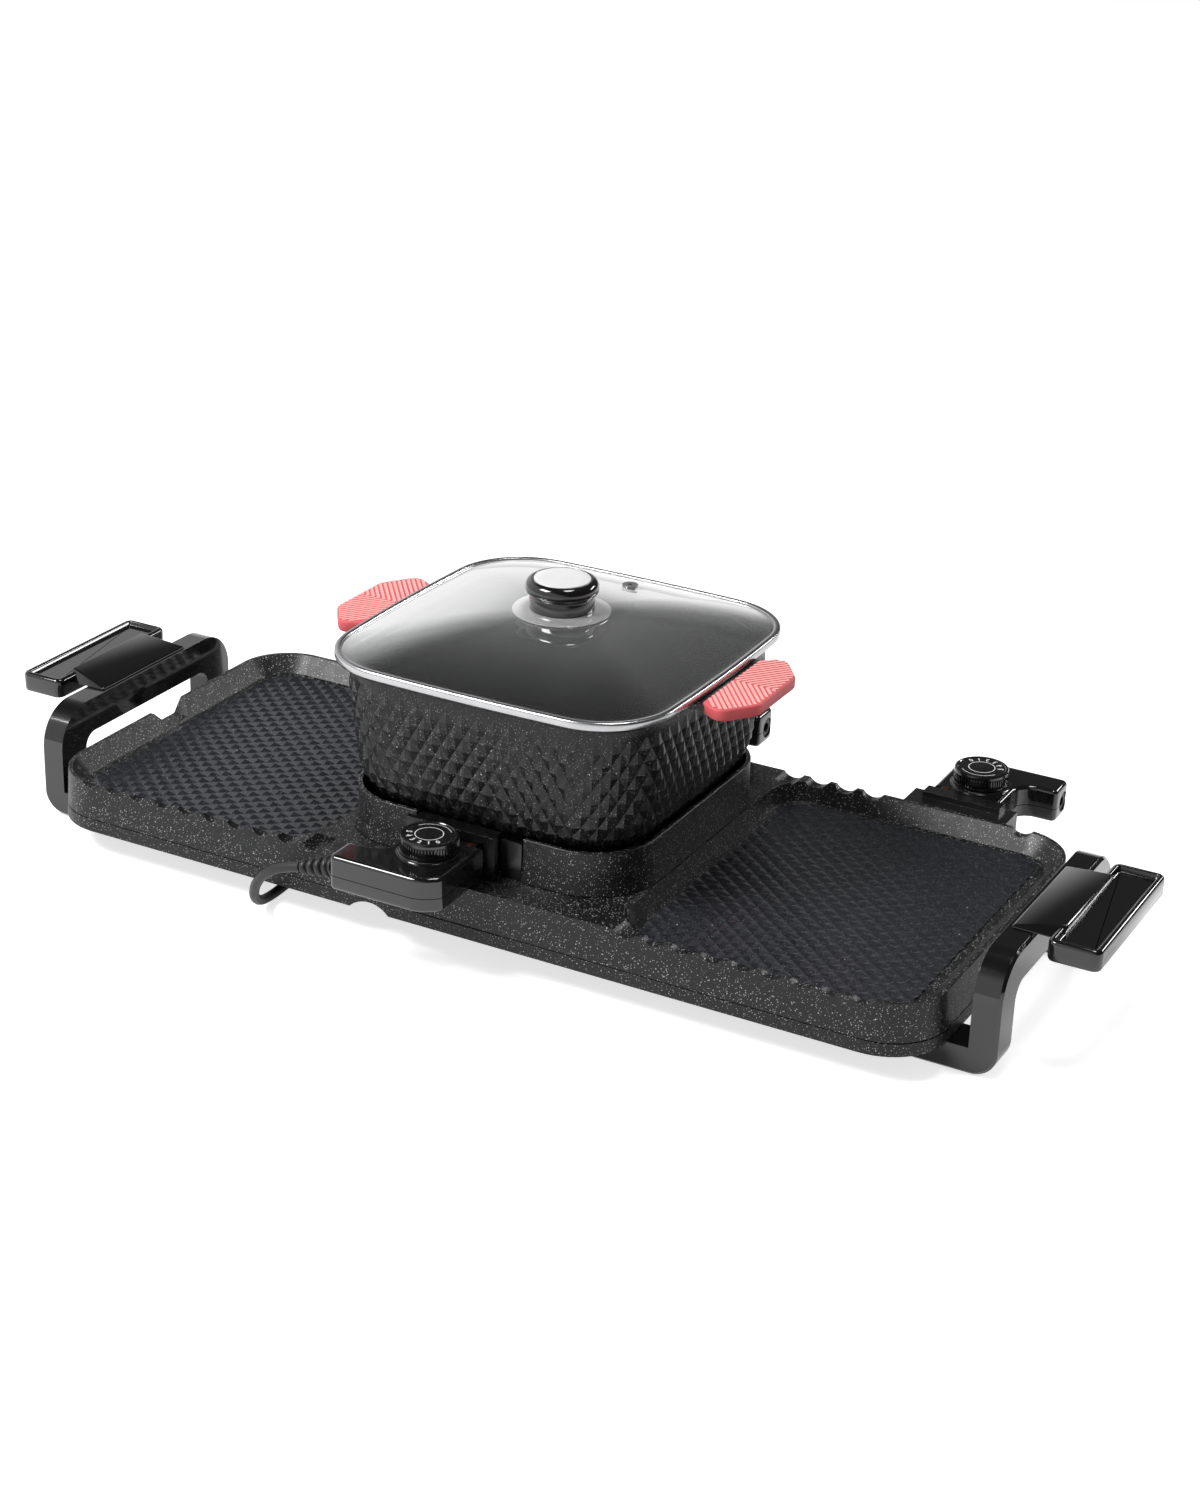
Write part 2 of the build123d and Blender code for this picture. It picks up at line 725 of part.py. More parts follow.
with BuildPart() as pot_heater_plate:
    with BuildSketch(level(plate_bottom)):
        RectangleRounded(2 * plate_half, 2 * plate_half, plate_corner)
    extrude(amount=plate_thickness)
    with BuildSketch(level(base_inside)):
        with GridLocations(2 * plate_leg_xy, 2 * plate_leg_xy, 2, 2):
            Circle(plate_leg_radius)
    extrude(amount=plate_bottom - base_inside)
    for face, socket_x in ((-1, front_socket_x), (1, rear_socket_x)):
        boss_start = socket_flange_y - plate_boss_end
        boss_stop = boss_start - probe_reach + plate_boss_end - boss_half
        boss_bottom = pot_control_height + probe_height - probe_radius - probe_clearance
        boss_bottom -= boss_under_wall
        with BuildSketch(level(boss_bottom)):
            with Locations((socket_x, face * (boss_start + boss_stop) / 2)):
                Rectangle(2 * boss_half, boss_start - boss_stop)
        extrude(amount=pot_bottom - boss_overlap - boss_bottom)
        lug_end = socket_flange_y - pot_shroud_tail_end
        lug_start = plate_half - boss_overlap
        with BuildSketch(level(plate_bottom)):
            lug_x = plate_lug_inner + boss_half / 2
            lug_y = face * (lug_start + lug_end) / 2
            with Locations((socket_x - lug_x, lug_y), (socket_x + lug_x, lug_y)):
                Rectangle(boss_half, lug_end - lug_start)
        extrude(amount=plate_thickness - boss_overlap)
        probe_mouth = (socket_x, appliance_y + face * socket_flange_y, pot_control_height + probe_height)
        with BuildSketch(Plane(origin=probe_mouth, z_dir=(0, -face, 0))):
            Circle(probe_radius + probe_clearance)
        extrude(amount=probe_reach + bore_overrun, mode=Mode.SUBTRACT)
finish(pot_heater_plate, "pot_heater_plate")

# ------------------------------------------------------------------ sockets and controls


def socket_frame(socket_x, flange_y, face, height):
    """Plane on a socket's outer face: X to its right, Y into the appliance, Z up."""
    return Plane(
        origin=(socket_x, appliance_y + face * flange_y, height),
        x_dir=(-face, 0, 0),
        z_dir=(0, 0, 1),
    )


def block(frame, x_half, y_from, y_to, z_from, z_to, mode=Mode.ADD):
    """Rectangular block centred on a socket frame's X."""
    with BuildSketch(frame.offset(z_from)) as base:
        with Locations((0, (y_from + y_to) / 2)):
            Rectangle(2 * x_half, y_to - y_from)
    extrude(base.sketch, amount=z_to - z_from, mode=mode)


def bar_inward(frame, x_places, z, y_from, y_to, radius, mode=Mode.ADD):
    """Round bars or bores that run into the appliance from a socket frame."""
    start = frame.origin + frame.y_dir * y_from
    with BuildSketch(Plane(origin=start, x_dir=frame.x_dir, z_dir=frame.y_dir)) as ends:
        # local Y of this plane points down
        with Locations(*[(x, -z) for x in x_places]):
            Circle(radius)
    extrude(ends.sketch, amount=y_to - y_from, mode=mode)


controls = {
    "front": socket_frame(front_socket_x, socket_flange_y, -1, pot_control_height),
    "rear": socket_frame(rear_socket_x, socket_flange_y, 1, pot_control_height),
    "grill": socket_frame(grill_socket_x, grill_flange_y, 1, grill_control_height),
}
nose_cavity = nose_half + socket_clearance
cavity_top = control_height + socket_clearance
cavity_back = nose_insert + socket_clearance
deck_level = rim_height + deck_clearance - pot_control_height
tail_bottom = rim_height + collar_foot + deck_clearance - pot_control_height
pin_places = (-pin_spread, pin_spread)

for name, socket_x in (("front", front_socket_x), ("rear", rear_socket_x)):
    frame = controls[name]
    with BuildPart() as socket_shroud:
        block(frame, pot_shroud_flange_half, 0, pot_shroud_flange, deck_level, pot_shroud_top)
        block(frame, pot_shroud_half, pot_shroud_flange, nose_insert, deck_level, pot_shroud_roof)
        block(frame, pot_shroud_half, nose_insert, pot_shroud_depth, tail_bottom, pot_shroud_roof)
        tail = (pot_shroud_depth, pot_shroud_tail_end, tail_bottom, pot_shroud_tail_top)
        block(frame, pot_shroud_tail_half, *tail)
        block(frame, nose_cavity, 0, cavity_back, deck_level, cavity_top, mode=Mode.SUBTRACT)
        bar_inward(frame, pin_places, pin_height, 0, pot_shroud_tail_end,
                   pin_radius + pin_seat_clearance, mode=Mode.SUBTRACT)
        bar_inward(frame, (0,), probe_height, 0, pot_shroud_tail_end,
                   probe_radius + probe_clearance, mode=Mode.SUBTRACT)
    finish(socket_shroud, f"{name}_socket_shroud")

    element_start = pot_shroud_tail_end + pin_radius
    with BuildPart() as terminal_pins:
        bar_inward(frame, pin_places, pin_height, nose_insert - pin_reach, element_start, pin_radius)
    finish(terminal_pins, f"{name}_terminal_pins")

    far_x = abs(socket_x) - pot_loop_half
    loop_places = [
        (-pin_spread, element_start),
        (-pin_spread, pot_loop_start),
        (far_x, pot_loop_start),
        (far_x, pot_loop_end),
        (pin_spread, pot_loop_end),
        (pin_spread, element_start),
    ]
    with BuildPart() as pot_element:
        with BuildLine() as loop:
            FilletPolyline(
                *[frame.from_local_coords(Vector(x, y, pin_height)) for x, y in loop_places],
                radius=element_bend,
            )
        with BuildSketch(Plane(origin=loop.line @ 0, z_dir=loop.line % 0)):
            Circle(element_radius)
        sweep()
    finish(pot_element, f"{name}_pot_element")

grill_frame = controls["grill"]
skirt_half_width = tray_half_width + tray_draft * (rim_height - skirt_bottom)
grill_back = grill_flange_y - skirt_half_width - grill_wall_gap
with BuildPart() as grill_socket_shroud:
    block(grill_frame, grill_shroud_half, 0, grill_back, grill_shroud_bottom, grill_shroud_top)
    block(grill_frame, grill_shroud_frame_half, 0, grill_shroud_frame_depth,
          grill_shroud_bottom, grill_shroud_frame_top)
    block(grill_frame, nose_cavity, 0, cavity_back, -socket_clearance, cavity_top, mode=Mode.SUBTRACT)
    bar_inward(grill_frame, pin_places, pin_height, 0, grill_back,
               pin_radius + pin_seat_clearance, mode=Mode.SUBTRACT)
    bar_inward(grill_frame, (0,), probe_height, 0, grill_back,
               probe_radius + probe_clearance, mode=Mode.SUBTRACT)
finish(grill_socket_shroud, "grill_socket_shroud")

with BuildPart() as grill_terminal_pins:
    bar_inward(grill_frame, pin_places, pin_height, nose_insert - pin_reach,
               grill_flange_y - ends_y, pin_radius)
finish(grill_terminal_pins, "grill_terminal_pins")


def control_outline():
    """Plan of a control: a nose into the socket and an arm to one side."""
    with BuildLine() as plan:
        FilletPolyline(
            (-nose_half, nose_insert),
            (-nose_half, arm_depth - control_reach),
            (-arm_reach, arm_depth - control_reach),
            (-arm_reach, -control_reach),
            (nose_half, -control_reach),
            (nose_half, nose_insert),
            radius=[arm_fillet, control_corner, control_corner, control_front_round],
        )
        Line((nose_half, nose_insert), (-nose_half, nose_insert))
    make_face(plan.edges())


for name, frame in controls.items():
    dial_frame = Plane(
        origin=frame.from_local_coords(Vector(0, -dial_y, 0)), x_dir=frame.x_dir, z_dir=(0, 0, 1)
    )
    pin_hole = pin_radius + pin_clearance
    pin_hole_end = nose_insert - pin_reach - pin_clearance
    probe_start = nose_insert - probe_root
    port_y = -cord_port_y
    port = Plane(
        origin=frame.from_local_coords(Vector(-arm_reach, port_y, cord_port_height)),
        x_dir=frame.y_dir,
        z_dir=frame.x_dir,
    )

    with BuildPart() as lower_housing:
        with BuildSketch(frame):
            control_outline()
        extrude(amount=housing_split)
        chamfer(lower_housing.faces().sort_by(Axis.Z)[0].edges(), control_top_round / 2)
        bar_inward(frame, pin_places, pin_height, pin_hole_end, nose_insert, pin_hole,
                   mode=Mode.SUBTRACT)
        bar_inward(frame, (0,), probe_height, probe_start, nose_insert,
                   probe_radius + pin_seat_clearance, mode=Mode.SUBTRACT)
        with BuildSketch(port):
            Circle(gland_radius)
        extrude(amount=gland_depth, mode=Mode.SUBTRACT)
    finish(lower_housing, f"{name}_lower_housing")

    with BuildPart() as upper_housing:
        with BuildSketch(frame.offset(housing_split + housing_seam)):
            control_outline()
        extrude(amount=control_height - housing_split - housing_seam)
        fillet(upper_housing.faces().sort_by(Axis.Z)[-1].edges(), control_top_round)
        with BuildSketch(dial_frame.offset(control_height)):
            Circle(dial_seat_radius)
        extrude(amount=dial_seat_height)
        with BuildSketch(dial_frame.offset(control_height + dial_seat_height)):
            Circle(dial_shaft_radius + shaft_clearance)
        extrude(amount=-dial_shaft_length - dial_seat_height, mode=Mode.SUBTRACT)
        with BuildSketch(frame.offset(control_height)):
            with Locations((lamp_x, -lamp_y)):
                Circle(lamp_radius + pin_seat_clearance)
        extrude(amount=-lamp_depth, mode=Mode.SUBTRACT)
        with BuildSketch(port):
            Circle(gland_radius)
        extrude(amount=gland_depth, mode=Mode.SUBTRACT)
    finish(upper_housing, f"{name}_upper_housing")

    with BuildPart() as lamp_lens:
        with BuildSketch(frame.offset(control_height - lamp_depth)):
            with Locations((lamp_x, -lamp_y)):
                Circle(lamp_radius)
        extrude(amount=lamp_depth + lamp_proud)
        fillet(lamp_lens.faces().sort_by(Axis.Z)[-1].edges(), lamp_proud)
    finish(lamp_lens, f"{name}_lamp_lens")

    with BuildPart() as probe:
        bar_inward(frame, (0,), probe_height, probe_start, probe_reach, probe_radius)
        tip = probe.faces().sort_by(Axis.Y)[0 if frame.y_dir.Y < 0 else -1]
        fillet(tip.edges(), probe_radius * probe_tip_share)
    finish(probe, f"{name}_probe")

    with BuildPart() as dial:
        dial_bottom = control_height + dial_seat_height + dial_gap
        with BuildSketch(dial_frame.offset(dial_bottom)):
            Circle(dial_radius)
            with PolarLocations(dial_radius, dial_flutes):
                Circle(flute_radius, mode=Mode.SUBTRACT)
        extrude(amount=control_height + dial_height - dial_bottom - flute_radius)
        with BuildSketch(dial_frame.offset(control_height + dial_height - flute_radius)):
            Circle(dial_radius)
        extrude(amount=flute_radius, taper=45)
        with BuildSketch(dial_frame.offset(dial_bottom)):
            Circle(dial_shaft_radius)
        extrude(amount=-dial_shaft_length - dial_seat_height)
    finish(dial, f"{name}_dial")

    if name != "front":
        with BuildPart() as gland:
            with BuildSketch(port.offset(gland_recess)):
                Circle(gland_radius - pin_seat_clearance)
                Circle(cord_radius, mode=Mode.SUBTRACT)
            extrude(amount=gland_depth - gland_recess)
            with BuildSketch(port.offset(gland_depth - gland_recess)):
                Circle(cord_radius)
            extrude(amount=gland_recess)
        finish(gland, f"{name}_port_plug")

# ------------------------------------------------------------------ pot

pot_height = pot_rim - pot_bottom


def pot_body(inset, bottom, top):
    """Tapering body of the pot, drawn in by an inset."""
    ends = []
    for height in (bottom, top):
        share = (height - pot_bottom) / pot_height
        half_x = pot_foot_half_x + share * (pot_rim_half_x - pot_foot_half_x) - inset
        half_y = pot_foot_half_y + share * (pot_rim_half_y - pot_foot_half_y) - inset
        with BuildSketch(level(height)) as end:
            bowed_square(half_x, half_y, pot_bow, pot_corner - inset)
        ends.append(end.sketch.face())
    loft(ends)


with BuildPart() as pot_cavity:
    pot_body(pot_wall, pot_bottom + pot_floor, pot_rim)
    fillet(pot_cavity.faces().sort_by(Axis.Z)[0].edges(), pot_base_round - pot_wall)

with BuildPart() as pot_shell:
    pot_body(0, pot_bottom, pot_rim)
    fillet(pot_shell.faces().sort_by(Axis.Z)[0].edges(), pot_base_round)
    with BuildSketch(level(pot_rim - pot_lip_height)):
        bowed_square(pot_rim_half_x + pot_lip, pot_rim_half_y + pot_lip, pot_bow, pot_corner + pot_lip)
    extrude(amount=pot_lip_height)
    with BuildSketch(level(ear_bottom)):
        with BuildLine():
            Polyline(
                (-ear_tip_x, -ear_tip_half),
                (-ear_tip_x, ear_tip_half),
                (-pot_foot_half_x, ear_root_half),
                (pot_foot_half_x, ear_root_half),
                (ear_tip_x, ear_tip_half),
                (ear_tip_x, -ear_tip_half),
                (pot_foot_half_x, -ear_root_half),
                (-pot_foot_half_x, -ear_root_half),
                close=True,
            )
        make_face()
    extrude(amount=ear_thickness)
    add(pot_cavity.part, mode=Mode.SUBTRACT)
finish(pot_shell, "pot_shell")

with BuildPart() as divider_room:
    pot_body(pot_wall + divider_gap, pot_bottom + pot_floor, pot_rim - divider_drop)
    fillet(
        divider_room.faces().sort_by(Axis.Z)[0].edges(), pot_base_round - pot_wall - divider_gap
    )

with BuildPart() as pot_divider:
    with BuildSketch(level(pot_bottom + pot_floor)):
        with BuildLine() as swing:
            Spline(
                (divider_x - divider_swing / 2, -pot_rim_half_y),
                (divider_x - divider_swing, -divider_half_swing_y),
                (divider_x, 0),
                (divider_x + divider_swing, divider_half_swing_y),
                (divider_x + divider_swing / 2, pot_rim_half_y),
            )
        trace(swing.edges(), divider_thickness)
    extrude(amount=pot_rim - divider_drop - pot_bottom - pot_floor)
    add(divider_room.part, mode=Mode.INTERSECT)
finish(pot_divider, "pot_divider")

for side, name in ((-1, "left"), (1, "right")):
    with BuildPart() as sleeve:
        with BuildSketch(level(sleeve_bottom)):
            with BuildLine():
                FilletPolyline(
                    (side * sleeve_inner_x, -sleeve_inner_half),
                    (side * sleeve_shoulder_x, -sleeve_half),
                    (side * sleeve_tip_x, -sleeve_straight_half),
                    (side * sleeve_tip_x, sleeve_straight_half),
                    (side * sleeve_shoulder_x, sleeve_half),
                    (side * sleeve_inner_x, sleeve_inner_half),
                    radius=sleeve_round,
                )
                Line(
                    (side * sleeve_inner_x, sleeve_inner_half),
                    (side * sleeve_inner_x, -sleeve_inner_half),
                )
            make_face()
        extrude(amount=sleeve_top - sleeve_bottom)
        with BuildSketch(level(ear_bottom - sleeve_gap)):
            share = (sleeve_inner_x - pot_foot_half_x) / (ear_tip_x - pot_foot_half_x)
            mouth_half = ear_root_half + share * (ear_tip_half - ear_root_half) + sleeve_gap
            with BuildLine():
                Polyline(
                    (side * sleeve_inner_x, -mouth_half),
                    (side * (ear_tip_x + sleeve_gap), -ear_tip_half - sleeve_gap),
                    (side * (ear_tip_x + sleeve_gap), ear_tip_half + sleeve_gap),
                    (side * sleeve_inner_x, mouth_half),
                    close=True,
                )
            make_face()
        extrude(amount=ear_thickness + 2 * sleeve_gap, mode=Mode.SUBTRACT)
    finish(sleeve, f"{name}_sleeve")

# ------------------------------------------------------------------ lid

with BuildPart() as lid_band:
    with BuildSketch(level(pot_rim)):
        bowed_square(lid_half_x, lid_half_y, lid_bow, lid_corner)
    extrude(amount=band_height)
    with BuildSketch(level(pot_rim)):
        bowed_square(
            lid_half_x - band_lower_lip, lid_half_y - band_lower_lip, lid_bow, lid_corner - band_lower_lip
        )
    extrude(amount=band_height, mode=Mode.SUBTRACT)
    with BuildSketch(level(pot_rim + band_sheet)):
        bowed_square(lid_half_x - band_sheet, lid_half_y - band_sheet, lid_bow, lid_corner - band_sheet)
    extrude(amount=band_height - 2 * band_sheet, mode=Mode.SUBTRACT)
    with BuildSketch(level(band_top - band_sheet)):
        bowed_square(
            lid_half_x - band_upper_lip, lid_half_y - band_upper_lip, lid_bow, lid_corner - band_upper_lip
        )
    extrude(amount=band_sheet, mode=Mode.SUBTRACT)
finish(lid_band, "lid_band")

glass_inset = band_sheet + glass_edge_gap


def dome(inset, drop, mode=Mode.ADD):
    """Solid under the domed surface, drawn in by an inset and dropped by a height."""
    sections = []
    for share in (1.0,) + dome_shares:
        height = glass_edge_top + dome_rise * (1 - share ** dome_power) - drop
        with BuildSketch(level(height)) as section:
            bowed_square(
                (lid_half_x - inset) * share,
                (lid_half_y - inset) * share,
                lid_bow * share,
                (lid_corner - inset) * share,
            )
        sections.append(section.sketch.face())
    loft(sections, mode=mode)


with BuildPart() as lid_glass:
    with BuildSketch(level(glass_bottom)):
        bowed_square(
            lid_half_x - glass_inset, lid_half_y - glass_inset, lid_bow, lid_corner - glass_inset
        )
    extrude(amount=glass_edge_top - glass_bottom)
    dome(band_upper_lip, 0)
    dome(band_upper_lip + glass_thickness, glass_thickness, mode=Mode.SUBTRACT)
    with BuildSketch(level(dome_top)):
        Circle(knob_hole_radius)
        with Locations((vent_x, vent_y)):
            Circle(vent_radius)
    extrude(amount=glass_bottom - dome_top, mode=Mode.SUBTRACT)
finish(lid_glass, "lid_glass")

with BuildPart() as knob_flange:
    with BuildSketch(level(dome_top)):
        Circle(knob_flange_radius)
        Circle(knob_screw_radius + screw_clearance, mode=Mode.SUBTRACT)
    extrude(amount=knob_flange_height)
    flange_edge = knob_flange.faces().sort_by(Axis.Z)[-1].edges().sort_by(Edge.length)[-1]
    chamfer(flange_edge, knob_flange_height / 2)
finish(knob_flange, "knob_flange")

with BuildPart() as knob_body:
    with BuildSketch(facing_front(0)):
        waist = knob_bottom + knob_height * knob_waist_share
        crown = knob_top - knob_cap_proud
        crown_radius = knob_cap_radius + knob_crown_margin
        with BuildLine():
            Line((0, knob_bottom), (knob_neck_radius, knob_bottom))
            Line((knob_neck_radius, knob_bottom), (knob_neck_radius, waist))
            ThreePointArc(
                (knob_neck_radius, waist),
                (knob_radius, (waist + crown) / 2 + knob_belly_rise),
                (crown_radius, crown),
            )
            Line((crown_radius, crown), (0, crown))
            Line((0, crown), (0, knob_bottom))
        make_face()
    revolve(axis=Axis((0, appliance_y, 0), (0, 0, 1)))
    with BuildSketch(level(crown)):
        Circle(knob_cap_radius + pin_seat_clearance)
    extrude(amount=knob_cap_proud - knob_cap_thickness, mode=Mode.SUBTRACT)
    with BuildSketch(level(knob_bottom)):
        Circle(knob_screw_radius)
    extrude(amount=knob_screw_length - knob_flange_height - glass_thickness, mode=Mode.SUBTRACT)
finish(knob_body, "knob_body")

with BuildPart() as knob_cap:
    with BuildSketch(level(knob_top - knob_cap_thickness)):
        Circle(knob_cap_radius)
    extrude(amount=knob_cap_thickness)
    fillet(knob_cap.faces().sort_by(Axis.Z)[-1].edges(), knob_cap_proud)
finish(knob_cap, "knob_cap")

washer_top = dome_top - glass_thickness
with BuildPart() as knob_washer:
    with BuildSketch(level(washer_top)):
        Circle(washer_radius)
        Circle(knob_screw_radius + screw_clearance, mode=Mode.SUBTRACT)
    extrude(amount=-washer_thickness)
finish(knob_washer, "knob_washer")

with BuildPart() as knob_screw:
    with BuildSketch(level(washer_top - washer_thickness)):
        Circle(knob_screw_head)
    extrude(amount=-knob_screw_head_height)
    fillet(knob_screw.faces().sort_by(Axis.Z)[0].edges(), knob_screw_head_height / 2)
    with BuildSketch(level(washer_top - washer_thickness)):
        Circle(knob_screw_radius)
    extrude(amount=knob_screw_length)
finish(knob_screw, "knob_screw")

vent_share = vent_y / lid_half_y
vent_height = glass_edge_top + dome_rise * (1 - vent_share ** dome_power)
with BuildPart() as vent_grommet:
    with BuildSketch(level(vent_height - glass_thickness - washer_thickness)):
        with Locations((vent_x, vent_y)):
            Circle(vent_radius - pin_seat_clearance)
    extrude(amount=glass_thickness + 2 * washer_thickness)
    with BuildSketch(level(vent_height + washer_thickness / 2)):
        with Locations((vent_x, vent_y)):
            Circle(vent_radius + washer_thickness)
    extrude(amount=washer_thickness)
    with BuildSketch(level(vent_height - glass_thickness - washer_thickness)):
        with Locations((vent_x, vent_y)):
            Circle(vent_bore)
    extrude(amount=glass_thickness + 4 * washer_thickness, mode=Mode.SUBTRACT)
finish(vent_grommet, "vent_grommet")

# ------------------------------------------------------------------ cord

relief_axis = Vector(-1, 0, 0).rotate(Axis.Y, -relief_tilt)
front_frame = controls["front"]
port_mouth = front_frame.from_local_coords(Vector(-arm_reach, -cord_port_y, cord_port_height))
relief_start = port_mouth + Vector(-relief_collar, 0, 0)
relief_end = relief_start + relief_axis * relief_length
with BuildPart() as strain_relief:
    with BuildSketch(Plane(origin=port_mouth + Vector(gland_depth, 0, 0), z_dir=(-1, 0, 0))):
        Circle(gland_radius - pin_seat_clearance)
    extrude(amount=gland_depth + relief_collar)
    with BuildSketch(Plane(origin=relief_start, x_dir=(0, 1, 0), z_dir=relief_axis)):
        Circle(relief_root_radius)
    with BuildSketch(Plane(origin=relief_end, x_dir=(0, 1, 0), z_dir=relief_axis)):
        Circle(relief_tip_radius)
    loft()
    for rib in range(relief_ribs):
        share = (rib + relief_first_share) / (relief_ribs + relief_last_share)
        groove_middle = relief_start + relief_axis * relief_length * share
        bare_radius = relief_root_radius + share * (relief_tip_radius - relief_root_radius)
        with BuildSketch(Plane(origin=groove_middle, x_dir=(0, 1, 0), z_dir=relief_axis)):
            Circle(relief_root_radius + relief_collar)
            Circle(bare_radius - relief_rib_depth, mode=Mode.SUBTRACT)
        extrude(amount=relief_rib_width, mode=Mode.SUBTRACT)
finish(strain_relief, "strain_relief")


def laid_point(x, y, z):
    """Point of the cord's route, measured from the middle of the appliance."""
    return Vector(x, appliance_y + y, z)


def cord_radii(points):
    """Bend radius at each inner point: as large as the two runs beside it allow."""
    radii = []
    for before, here, after in zip(points, points[1:], points[2:]):
        run_in = here - before
        run_out = after - here
        half_turn = radians(run_in.get_angle(run_out)) / 2
        radii.append(bend_share * min(run_in.length, run_out.length) / tan(half_turn))
    return radii


def cord_tube(points):
    """Plain tube of the cord along straight runs joined by tangent arcs."""
    radii = cord_radii(points)
    with BuildLine() as route:
        FilletPolyline(*points, radius=radii)
    with BuildSketch(Plane(origin=route.line @ 0, z_dir=route.line % 0)) as section:
        Circle(cord_radius)
    sweep(section.sketch, path=route.line)
    length = sum(edge.length for edge in route.edges())
    print("cord length", round(length, 1), "radii", [round(r, 1) for r in radii])
    return length


run_points = [
    relief_end + relief_axis * cord_gap,
    laid_point(-110, -183, 57),
    laid_point(-125, -181, 47),
    laid_point(-136, -176, 33),
    laid_point(-143, -167, 18),
    laid_point(-148, -152, 7.5),
    laid_point(-151, -132, 3.8),
    laid_point(-153, -105, 3.7),
    laid_point(-157, -60, 3.7),
    laid_point(-160, -12, 3.6),
    laid_point(-167, 36, 3.7),
    laid_point(-176, 82, 3.6),
    laid_point(-186, 126, 3.7),
    laid_point(-195, 162, 3.6),
    laid_point(-195.5, coil_y, 3.6),
]
tail_points = [
    laid_point(coil_x, coil_y + 45.5, 10.5),
    laid_point(coil_x + 17, coil_y + 45.5, 9.8),
    laid_point(coil_x + 35, coil_y + 43, 7.0),
    laid_point(coil_x + 52, coil_y + 37.5, 7.0),
]
section_area = pi * cord_radius ** 2
with BuildPart() as cord_run:
    run_length = cord_tube(run_points)
print("cord run volume share", round(cord_run.part.volume / (section_area * run_length), 4))
finish(cord_run, "cord_run")

with BuildPart() as cord_coil:
    with BuildSketch(level(0)):
        with Locations((coil_x, coil_y)):
            Circle(coil_mean_radius + coil_columns * cord_radius)
            Circle(coil_mean_radius - coil_columns * cord_radius, mode=Mode.SUBTRACT)
    extrude(amount=2 * cord_radius * coil_layers)
finish(cord_coil, "cord_coil")

with BuildPart() as cord_tail:
    tail_length = cord_tube(tail_points)
print("cord tail volume share", round(cord_tail.part.volume / (section_area * tail_length), 4))
finish(cord_tail, "cord_tail")

plug_axis = (tail_points[-1] - tail_points[-2]).normalized()
plug_face = Plane(origin=tail_points[-1], x_dir=plug_axis.cross(Vector(0, 0, 1)), z_dir=plug_axis)
with BuildPart() as plug_body:
    with BuildSketch(plug_face):
        RectangleRounded(
            plug_width * plug_neck_width_share, plug_height * plug_neck_height_share, cord_radius
        )
    with BuildSketch(plug_face.offset(plug_length * plug_neck_share)):
        RectangleRounded(plug_width, plug_height, cord_radius)
    loft()
    with BuildSketch(plug_face.offset(plug_length * plug_neck_share)):
        RectangleRounded(plug_width, plug_height, cord_radius)
    extrude(amount=plug_length * (1 - plug_neck_share))
finish(plug_body, "plug_body")

with BuildPart() as plug_blades:
    with BuildSketch(plug_face.offset(plug_length)):
        with Locations((-plug_blade_pitch / 2, 0), (plug_blade_pitch / 2, 0)):
            Rectangle(plug_blade_thickness, plug_blade_width)
    extrude(amount=plug_blade_length)
finish(plug_blades, "plug_blades")
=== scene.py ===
"""Looks of a tabletop grill with a divided hot pot: coatings, glossy plastic, steel, glass and the mains lead."""

from __future__ import annotations

import logging
import math
from dataclasses import dataclass
from enum import Enum
from typing import Callable, Iterable, Sequence

import bmesh
import bpy
from mathutils import Matrix, Vector

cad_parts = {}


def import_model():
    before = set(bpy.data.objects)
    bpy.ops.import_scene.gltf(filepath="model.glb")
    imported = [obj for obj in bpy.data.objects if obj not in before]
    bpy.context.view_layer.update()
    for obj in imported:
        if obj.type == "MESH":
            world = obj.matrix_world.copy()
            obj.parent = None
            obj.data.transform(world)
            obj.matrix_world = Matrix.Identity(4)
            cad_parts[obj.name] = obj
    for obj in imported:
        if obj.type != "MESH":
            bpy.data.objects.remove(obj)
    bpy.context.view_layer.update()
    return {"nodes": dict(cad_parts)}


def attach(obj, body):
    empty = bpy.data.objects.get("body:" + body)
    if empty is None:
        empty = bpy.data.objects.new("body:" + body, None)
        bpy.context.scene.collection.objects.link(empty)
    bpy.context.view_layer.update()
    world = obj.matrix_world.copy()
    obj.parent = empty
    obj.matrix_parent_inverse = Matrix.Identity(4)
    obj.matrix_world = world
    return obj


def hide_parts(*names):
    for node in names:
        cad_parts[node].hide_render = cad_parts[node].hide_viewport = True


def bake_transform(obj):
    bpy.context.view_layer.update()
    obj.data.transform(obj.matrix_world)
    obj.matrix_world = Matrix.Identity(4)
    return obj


log = logging.getLogger("grill")

MM = 0.001
MIDDLE_Y = -22.0  # middle of the appliance in depth, millimetres
UPRIGHT = Vector((0.0, 0.0, 1.0))
LEAST_RADIUS = 0.001  # keeps the ends of a turned profile open, millimetres
SAME_POINT, SAME_CAD_POINT = 1e-7, 2e-6  # points nearer than this are one, metres
FLAT_ANGLE = 1.0  # faces that differ by less are one, degrees
SOFTER_BY = 12.0  # how much sharper an edge has to be to stay sharp once it is rounded, degrees
SIDES = ((-1, "left"), (1, "right"))
SIDE_STEPS, CORNER_STEPS = 40, 60  # points along half a bowed side, and round a corner

Place = tuple[float, float, float]
Colour = tuple[float, float, float, float]
Profile = Sequence[tuple[float, float]]
Ring = list[Vector]
Face = tuple[int, ...]
Object = bpy.types.Object
Mesh = bpy.types.Mesh
Material = bpy.types.Material
Socket = bpy.types.NodeSocket


def metres(point: Sequence[float]) -> Place:
    """Point in metres in the shared frame, from millimetres that start at the appliance's middle."""
    x, y, z = point
    return x * MM, (y + MIDDLE_Y) * MM, z * MM


